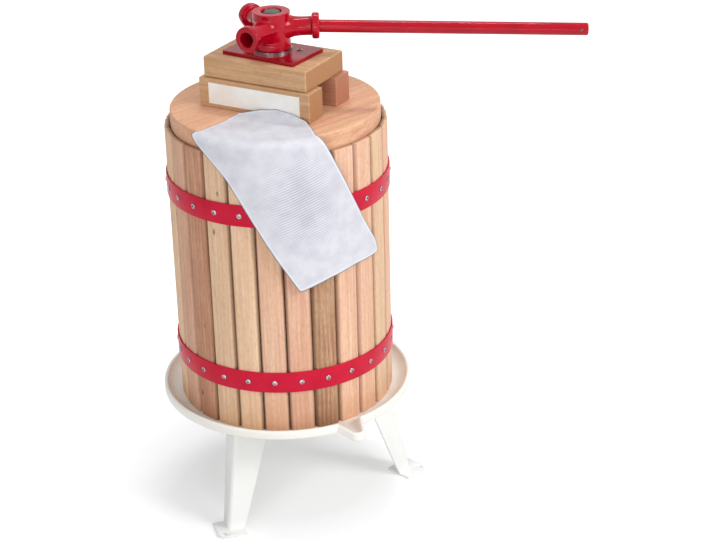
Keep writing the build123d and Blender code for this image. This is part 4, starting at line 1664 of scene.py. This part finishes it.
@dataclass
class PressBag:
    """Nylon mesh bag draped over the board and down the basket's side.

    The sheet is laid out on a plane with P round the basket from the facing direction and Q past the rim.
    Its edges give P and Q in millimetres. The plane is then folded over the rim, and up the front block.
    """

    finishes: Finishes
    flat_width: float = 150.0 * MM
    flat_length: float = 300.0 * MM
    thickness: float = 1.4 * MM
    single_share: float = 0.7
    hem_width: float = 2.5 * MM
    facing: float = -128.0
    hang_radius: float = 156.4 * MM
    rim_bend: float = 13.0 * MM
    lift: float = 0.9 * MM
    block_face: float = 54.4 * MM
    block_bend: float = 13.0 * MM
    across_steps: int = 64
    along_steps: int = 140
    edge_soft: float = 0.012
    corner_share: Point = (0.036, 0.018)
    board_wave: float = 0.8 * MM
    board_ramp: float = 30.0 * MM
    hang_gap: float = 1.6 * MM
    hang_wave: float = 2.4 * MM
    hang_ramp: float = 60.0 * MM
    stitch_inset: float = 2.6 * MM
    stitch_pitch: float = 4.2 * MM
    stitch_radius: float = 0.7 * MM
    stitch_span: Point = (0.15, 0.85)
    blend_start: float = 0.118
    blend_end: float = 0.094
    blend_rise: float = 0.024

    LEFT_EDGE = ((-44, -101), (-66, -56), (-101, -3), (-65, 29), (-43, 51), (-23, 85), (20, 162), (49, 211))
    RIGHT_EDGE = ((40, -88), (63, -64), (80, -22), (92, 10), (130, 91), (148, 127), (171, 167), (175, 185))
    INNER_EDGE = ((-44, -101), (-26, -106), (-7, -108), (18, -103), (40, -88))
    BOTTOM_EDGE = ((49, 211), (90, 196), (133, 187), (175, 185))
    SOFTENING = (-1.0, -0.5, 0.0, 0.5, 1.0)
    OUTWARD_TILT = 0.4
    RIPPLE_RATE = (22.0, 9.0)
    RIPPLE_SEED = 3.7

    def __post_init__(self) -> None:
        """Find the height of the board that the bag lies on."""
        self.board_top = node_heights("left_board_half")[1]

    def build(self) -> None:
        bag = new_piece(self.build_sheet(), "mesh_press_bag", self.finishes.mesh_cloth)
        add_modifier(
            bag,
            "cloth",
            "SOLIDIFY",
            thickness=self.thickness,
            offset=0.0,
            vertex_group=bag.vertex_groups.new(name="hem").name,
            thickness_vertex_group=self.single_share,
        )
        stitches = new_piece(self.build_stitches(), "bag_stitches", self.finishes.seam)
        for piece in (bag, stitches):
            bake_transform(piece)
        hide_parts("press_bag")

    def build_sheet(self) -> BMesh:
        """Drape the sheet, with its flat coordinates, its hem and its edge marked on it. The edge mark
        carries a painted shadow line.

        Returns:
            The middle of the cloth.
        """
        mesh = bmesh.new()
        bmesh.ops.create_grid(mesh, x_segments=self.across_steps, y_segments=self.along_steps, size=0.5)
        flat = mesh.loops.layers.uv.new("cloth")
        hem_layer = mesh.verts.layers.float.new("hem")
        painted_shadow_layer = mesh.verts.layers.float.new("edge")
        group_layer = mesh.verts.layers.deform.verify()
        spots = {}
        for vert in mesh.verts:
            across, along = vert.co.x + 0.5, vert.co.y + 0.5
            spots[vert] = self.layout(across, along)
            # The edge attribute marks where the painted shadow line goes
            vert[painted_shadow_layer] = float(vert.is_boundary)
            vert[hem_layer] = vert[group_layer][0] = self.hem_share(across, along)
        for face in mesh.faces:
            for loop in face.loops:
                loop[flat].uv = spots[loop.vert]
        for vert, spot in spots.items():
            vert.co = self.drape(spot)
        bmesh.ops.recalc_face_normals(mesh, faces=mesh.faces)
        face_along(mesh, polar(1.0, self.facing, self.OUTWARD_TILT))
        return mesh

    def hem_share(self, across: float, along: float) -> float:
        """Find the hem along the sheet's edges.

        Args:
            across: Share of the width from the left edge.
            along: Share of the length from the inner end.

        Returns:
            1 within the hem, else 0.
        """
        from_side = min(across, 1 - across) * self.flat_width
        from_end = min(along, 1 - along) * self.flat_length
        return float(min(from_side, from_end) <= self.hem_width)

    def edge_spot(self, edge: Sequence[Point], share: float) -> Vector:
        """Point at a share of an edge's length, with the edge's corners softened.

        Args:
            edge: Corners of the edge in millimetres.
            share: Share of the edge's length.

        Returns:
            The point in metres.
        """
        corners = [Vector(corner) * MM for corner in edge]
        lengths = [(end - start).length for start, end in zip(corners, corners[1:])]
        spread = min(self.edge_soft, share, 1 - share)
        total = Vector((0.0, 0.0))
        for step in self.SOFTENING:
            left = (share + step * spread) * sum(lengths)
            for start, end, length in zip(corners, corners[1:], lengths):
                if left <= length or end is corners[-1]:
                    total += start.lerp(end, left / length)
                    break
                left -= length
        return total / len(self.SOFTENING)

    def round_corner(self, across: float, along: float) -> Point:
        """Draw the square corners of the sheet's lower end in to round ones.

        Args:
            across: Share of the width from the left edge.
            along: Share of the length from the inner end.

        Returns:
            The two shares after rounding.
        """
        wide, long = self.corner_share
        from_side = min(across, 1 - across) / wide
        from_end = (1 - along) / long
        if from_side >= 1 or from_end >= 1:
            return across, along
        side, end = 1 - from_side, 1 - from_end
        from_side = wide * (1 - side * math.sqrt(1 - end**2 / 2))
        from_end = long * (1 - end * math.sqrt(1 - side**2 / 2))
        return (from_side if across < 0.5 else 1 - from_side), 1 - from_end

    def layout(self, across: float, along: float) -> Vector:
        """Place on the unrolled plane of a point of the sheet.

        Args:
            across: Share of the width from the left edge.
            along: Share of the length from the inner end.

        Returns:
            P and Q in metres.
        """
        across, along = self.round_corner(across, along)
        left, right = (self.edge_spot(edge, along) for edge in (self.LEFT_EDGE, self.RIGHT_EDGE))
        inner, bottom = (self.edge_spot(edge, across) for edge in (self.INNER_EDGE, self.BOTTOM_EDGE))
        corners = [Vector(edge[end]) * MM for edge in (self.INNER_EDGE, self.BOTTOM_EDGE) for end in (0, -1)]
        ruled = corners[0].lerp(corners[1], across).lerp(corners[2].lerp(corners[3], across), along)
        return left.lerp(right, across) + inner.lerp(bottom, along) - ruled

    def drape(self, spot: Vector) -> Vector:
        """Place in the CAD frame of a point of the unrolled plane.

        Args:
            spot: P and Q in metres.

        Returns:
            The point on the draped bag.
        """
        top = self.board_top + self.lift
        angle = self.facing + math.degrees(spot.x / self.hang_radius)
        past_bend = spot.y + self.rim_bend
        round_rate, down_rate = self.RIPPLE_RATE
        ripple = noise.noise(Vector((spot.x * round_rate, spot.y * down_rate, self.RIPPLE_SEED)))
        if past_bend <= 0:
            rim = polar(self.hang_radius - self.rim_bend, angle)
            wave = self.board_wave * max(0.0, ripple) * smooth_step(-past_bend, 0.0, self.board_ramp)
            return self.fold_up(rim + polar(1.0, self.facing) * past_bend, top + wave)
        if past_bend < 2 * self.rim_bend:
            turn = past_bend / self.rim_bend * math.pi / 4
            radius = self.hang_radius - self.rim_bend * (1 - math.sin(turn))
            return polar(radius, angle, top - self.rim_bend * (1 - math.cos(turn)))
        hang = past_bend - 2 * self.rim_bend
        billow = smooth_step(hang, 0.0, self.hang_ramp) * (self.hang_gap + self.hang_wave * ripple)
        return polar(self.hang_radius + billow, angle, top - self.rim_bend - hang)

    def fold_up(self, spot: Vector, height: float) -> Vector:
        """Lay a point of the sheet on the board, or up the front block where it would run under it.

        Args:
            spot: The point seen from above.
            height: Height of the cloth on the board.

        Returns:
            The point in the CAD frame.
        """
        outward = polar(1.0, BLOCK_ANGLE - 90.0)
        past = self.block_face + self.block_bend - spot.dot(outward)
        if past <= 0:
            return Vector((spot.x, spot.y, height))
        turn = min(past / self.block_bend * math.pi / 4, math.pi / 2)
        back = past - self.block_bend * math.sin(turn)
        rise = self.block_bend * (1 - math.cos(turn)) + max(0.0, past - 2 * self.block_bend)
        return Vector((spot.x, spot.y, height + rise)) + outward * back

    def build_stitches(self) -> BMesh:
        """Sew a row of stitches inside the long edges and the bottom edge.

        Returns:
            All the stitches in one shape.
        """
        side = self.stitch_inset / self.flat_width
        low = 1 - self.stitch_inset / self.flat_length
        rows = (
            (Vector((side, 0.0)), Vector((side, 1.0)), self.flat_length),
            (Vector((1 - side, 0.0)), Vector((1 - side, 1.0)), self.flat_length),
            (Vector((0.0, low)), Vector((1.0, low)), self.flat_width),
        )
        mesh = bmesh.new()
        for first, last, length in rows:
            count = int(length / self.stitch_pitch)
            for number in range(1, count - 1):
                spots = [first.lerp(last, (number + share) / count) for share in self.stitch_span]
                start, end = (self.drape(self.layout(*spot)) for spot in spots)
                self.add_stitch(mesh, start, end)
        return mesh

    def add_stitch(self, mesh: BMesh, start: Vector, end: Vector) -> None:
        """Add one stitch: a short thread, fat in its middle, on both faces of the cloth.

        Args:
            mesh: The stitches so far.
            start: Where the stitch starts.
            end: Where it ends.
        """
        along = end - start
        turn = along.to_track_quat("Z", "Y").to_matrix().to_4x4()
        made = bmesh.ops.create_uvsphere(mesh, u_segments=6, v_segments=5, radius=1.0)["verts"]
        shape = Matrix.Diagonal((self.stitch_radius, self.stitch_radius, along.length / 2, 1.0))
        bmesh.ops.transform(mesh, matrix=Matrix.Translation((start + end) / 2) @ turn @ shape, verts=made)


@dataclass
class PressStack:
    """Board, blocks, plate and washer on the spindle, with the handle bar."""

    finishes: Finishes
    plate_length: float = 114.0 * MM
    plate_width: float = 72.0 * MM
    plate_turn: float = -4.0
    screw_inset: float = 22.5 * MM
    screw_turn: float = 0.6
    screw: CrossHeadScrew = CrossHeadScrew(4.0 * MM, 2.0 * MM, 2.0 * MM, 22.0 * MM)

    def build(self) -> None:
        """Dress the CAD pieces and set the plate's screws."""
        looks = {
            "left_board_half": self.finishes.board,
            "right_board_half": self.finishes.board,
            "front_block": self.finishes.block,
            "top_block": self.finishes.block,
            "back_block": self.finishes.back_block,
            "blank_label": self.finishes.label,
            "pressure_plate": self.finishes.plate,
            "thrust_washer": self.finishes.bright,
            "handle_bar": self.finishes.gloss,
        }
        for node, material in looks.items():
            dress_node(node, material)
        self.build_plate_screws()

    def build_plate_screws(self) -> None:
        """Set the two screws that hold the plate to the top block."""
        top = node_heights("pressure_plate")[1]
        plate = Matrix.Rotation(math.radians(BLOCK_ANGLE + self.plate_turn), 4, "Z")
        along, across = (size / 2 - self.screw_inset for size in (self.plate_length, self.plate_width))
        places = []
        for side in (1, -1):
            spot = Matrix.Translation((side * along, side * across, top))
            places.append(plate @ spot @ Matrix.Rotation(self.screw_turn + side, 4, "Z"))
        home = Home("press_stack", "bright_steel", ("plate_screws",))
        finish_piece(self.screw.build_all(places), "plate_screw_heads", home, self.finishes.bright)


@dataclass
class Base:
    """Base plate and the fasteners under the tray."""

    finishes: Finishes

    def build(self) -> None:
        """Dress the CAD pieces that need no more shape."""
        dress_node("base_plate", self.finishes.enamel)
        for node in ("leg_bolts", "leg_washers", "leg_nuts", "spindle_washers", "spindle_lock_nuts"):
            dress_node(node, self.finishes.zinc)


@dataclass(frozen=True)
class Lamp:
    """A soft lamp: where it hangs, its width and height in metres and its power in watts."""

    name: str
    spot: Triple
    size: Point
    power: float

    def hang(self, target: Vector) -> None:
        """Hang the lamp in the scene.

        Args:
            target: The point that it looks at.
        """
        data = bpy.data.lights.new(self.name, "AREA")
        data.shape = "RECTANGLE"
        data.size, data.size_y = self.size
        data.energy = self.power
        lamp = new_object(self.name, data)
        lamp.location = self.spot
        lamp.rotation_euler = (target - Vector(self.spot)).to_track_quat("-Z", "Y").to_euler()


@dataclass
class Studio:
    """Pale floor, soft light and the photograph's camera."""

    image_width: int = 716
    focal_pixels: float = 1887.0
    sensor_width: float = 36.0
    position: Triple = (-1.12128, -2.10881, 1.44996)
    heading: float = -28.0
    pan: float = 2.52
    pitch: float = 25.21
    roll: float = -1.55
    lamp_target: Triple = (0.0, 0.0, 0.4)
    floor_half: float = 14.0
    floor_colour: Colour = (0.65, 0.65, 0.65, 1.0)
    glow_reach: Point = (0.12, 0.42)
    glow_strength: Point = (0.32, 0.8)
    sky_colour: Colour = (0.96, 0.98, 1.0, 1.0)
    sky_strength: float = 0.46

    WHITE = (1.0, 1.0, 1.0, 1.0)
    LAMPS = (
        Lamp("key_light", (1.45, -2.45, 2.3), (1.3, 1.3), 64.0),
        Lamp("fill_light", (-2.3, -2.0, 1.3), (2.4, 2.4), 31.0),
        Lamp("top_light", (0.66, 0.7, 2.97), (1.1, 0.2), 20.0),
        Lamp("front_light", (-0.96, -2.15, 0.75), (1.0, 0.15), 4.0),
    )

    def build(self) -> None:
        """Set up the studio."""
        self.build_floor()
        self.build_world()
        for lamp in self.LAMPS:
            lamp.hang(Vector(self.lamp_target))
        self.build_camera()
        bpy.context.scene.view_settings.view_transform = "Standard"

    @staticmethod
    def show(graph: Graph, lit: Socket, shown: Socket) -> Socket:
        """Pick what lights the object and what the camera, gloss and glass show.

        Args:
            graph: Node tree of the floor or the world.
            lit: Shader for the rays that light the object.
            shown: Shader for rays from the camera, and for what gloss and glass show.

        Returns:
            The two in one shader.
        """
        path = graph.add("LightPath", {}).outputs
        direct = graph.combine(path["Is Camera Ray"], path["Is Glossy Ray"], "MAXIMUM")
        direct = graph.combine(direct, path["Is Transmission Ray"], "MAXIMUM")
        return graph.add("MixShader", {0: direct, 1: lit, 2: shown}).outputs[0]

    def build_floor(self) -> None:
        """Lay a floor that reads as white and keeps the object's shadow."""
        graph = Graph(bpy.data.materials.new("studio_floor"))
        matt = graph.add("BsdfDiffuse", {"Color": self.floor_colour}).outputs[0]
        reach = graph.distance(graph.object_place(), ORIGIN)
        strength = graph.span(reach, self.glow_reach, self.glow_strength)
        glow = graph.add("Emission", {"Strength": strength}).outputs[0]
        bright = graph.add("AddShader", {0: matt, 1: glow}).outputs[0]
        material = graph.close("OutputMaterial", self.show(graph, matt, bright))
        mesh = bmesh.new()
        bmesh.ops.create_grid(mesh, x_segments=4, y_segments=4, size=self.floor_half)
        new_piece(mesh, "studio_floor", material)

    def build_world(self) -> None:
        """Light the scene evenly from a pale sky that shows white."""
        graph = Graph(bpy.data.worlds.new("studio"))
        sky = {"Color": self.sky_colour, "Strength": self.sky_strength}
        dim = graph.add("Background", sky).outputs[0]
        white = graph.add("Background", {"Color": self.WHITE, "Strength": 1.0}).outputs[0]
        bpy.context.scene.world = graph.close("OutputWorld", self.show(graph, dim, white))

    def build_camera(self) -> None:
        """Stand the camera where the photograph was taken from."""
        pan, pitch, roll = (math.radians(angle) for angle in (self.pan, self.pitch, self.roll))
        forward = Vector((math.sin(pan) * math.cos(pitch), math.cos(pan) * math.cos(pitch), -math.sin(pitch)))
        level = forward.cross(UP).normalized()
        upright = level.cross(forward)
        right = level * math.cos(roll) + upright * math.sin(roll)
        top = upright * math.cos(roll) - level * math.sin(roll)
        heading = Matrix.Rotation(math.radians(self.heading), 3, "Z")
        axes = Matrix((heading @ right, heading @ top, heading @ -forward)).transposed()
        data = bpy.data.cameras.new("photo_camera")
        data.sensor_fit = "HORIZONTAL"
        data.sensor_width = self.sensor_width
        data.lens = self.sensor_width * self.focal_pixels / self.image_width
        camera = new_object("photo_camera", data)
        camera.matrix_world = Matrix.Translation(self.position) @ axes.to_4x4()
        bpy.context.scene.camera = camera


def main() -> None:
    """Build the press and its studio."""
    logging.basicConfig(level=logging.INFO, format="%(message)s")
    finishes = Finishes()
    Studio().build()
    for assembly in (Base, JuiceTray, Legs, Basket, Spindle, PressStack, SpindleNut, PressBag):
        assembly(finishes).build()
        log.info("finished %s", assembly.__name__)
    bpy.context.view_layer.update()


if __name__ == "__main__":
    main()
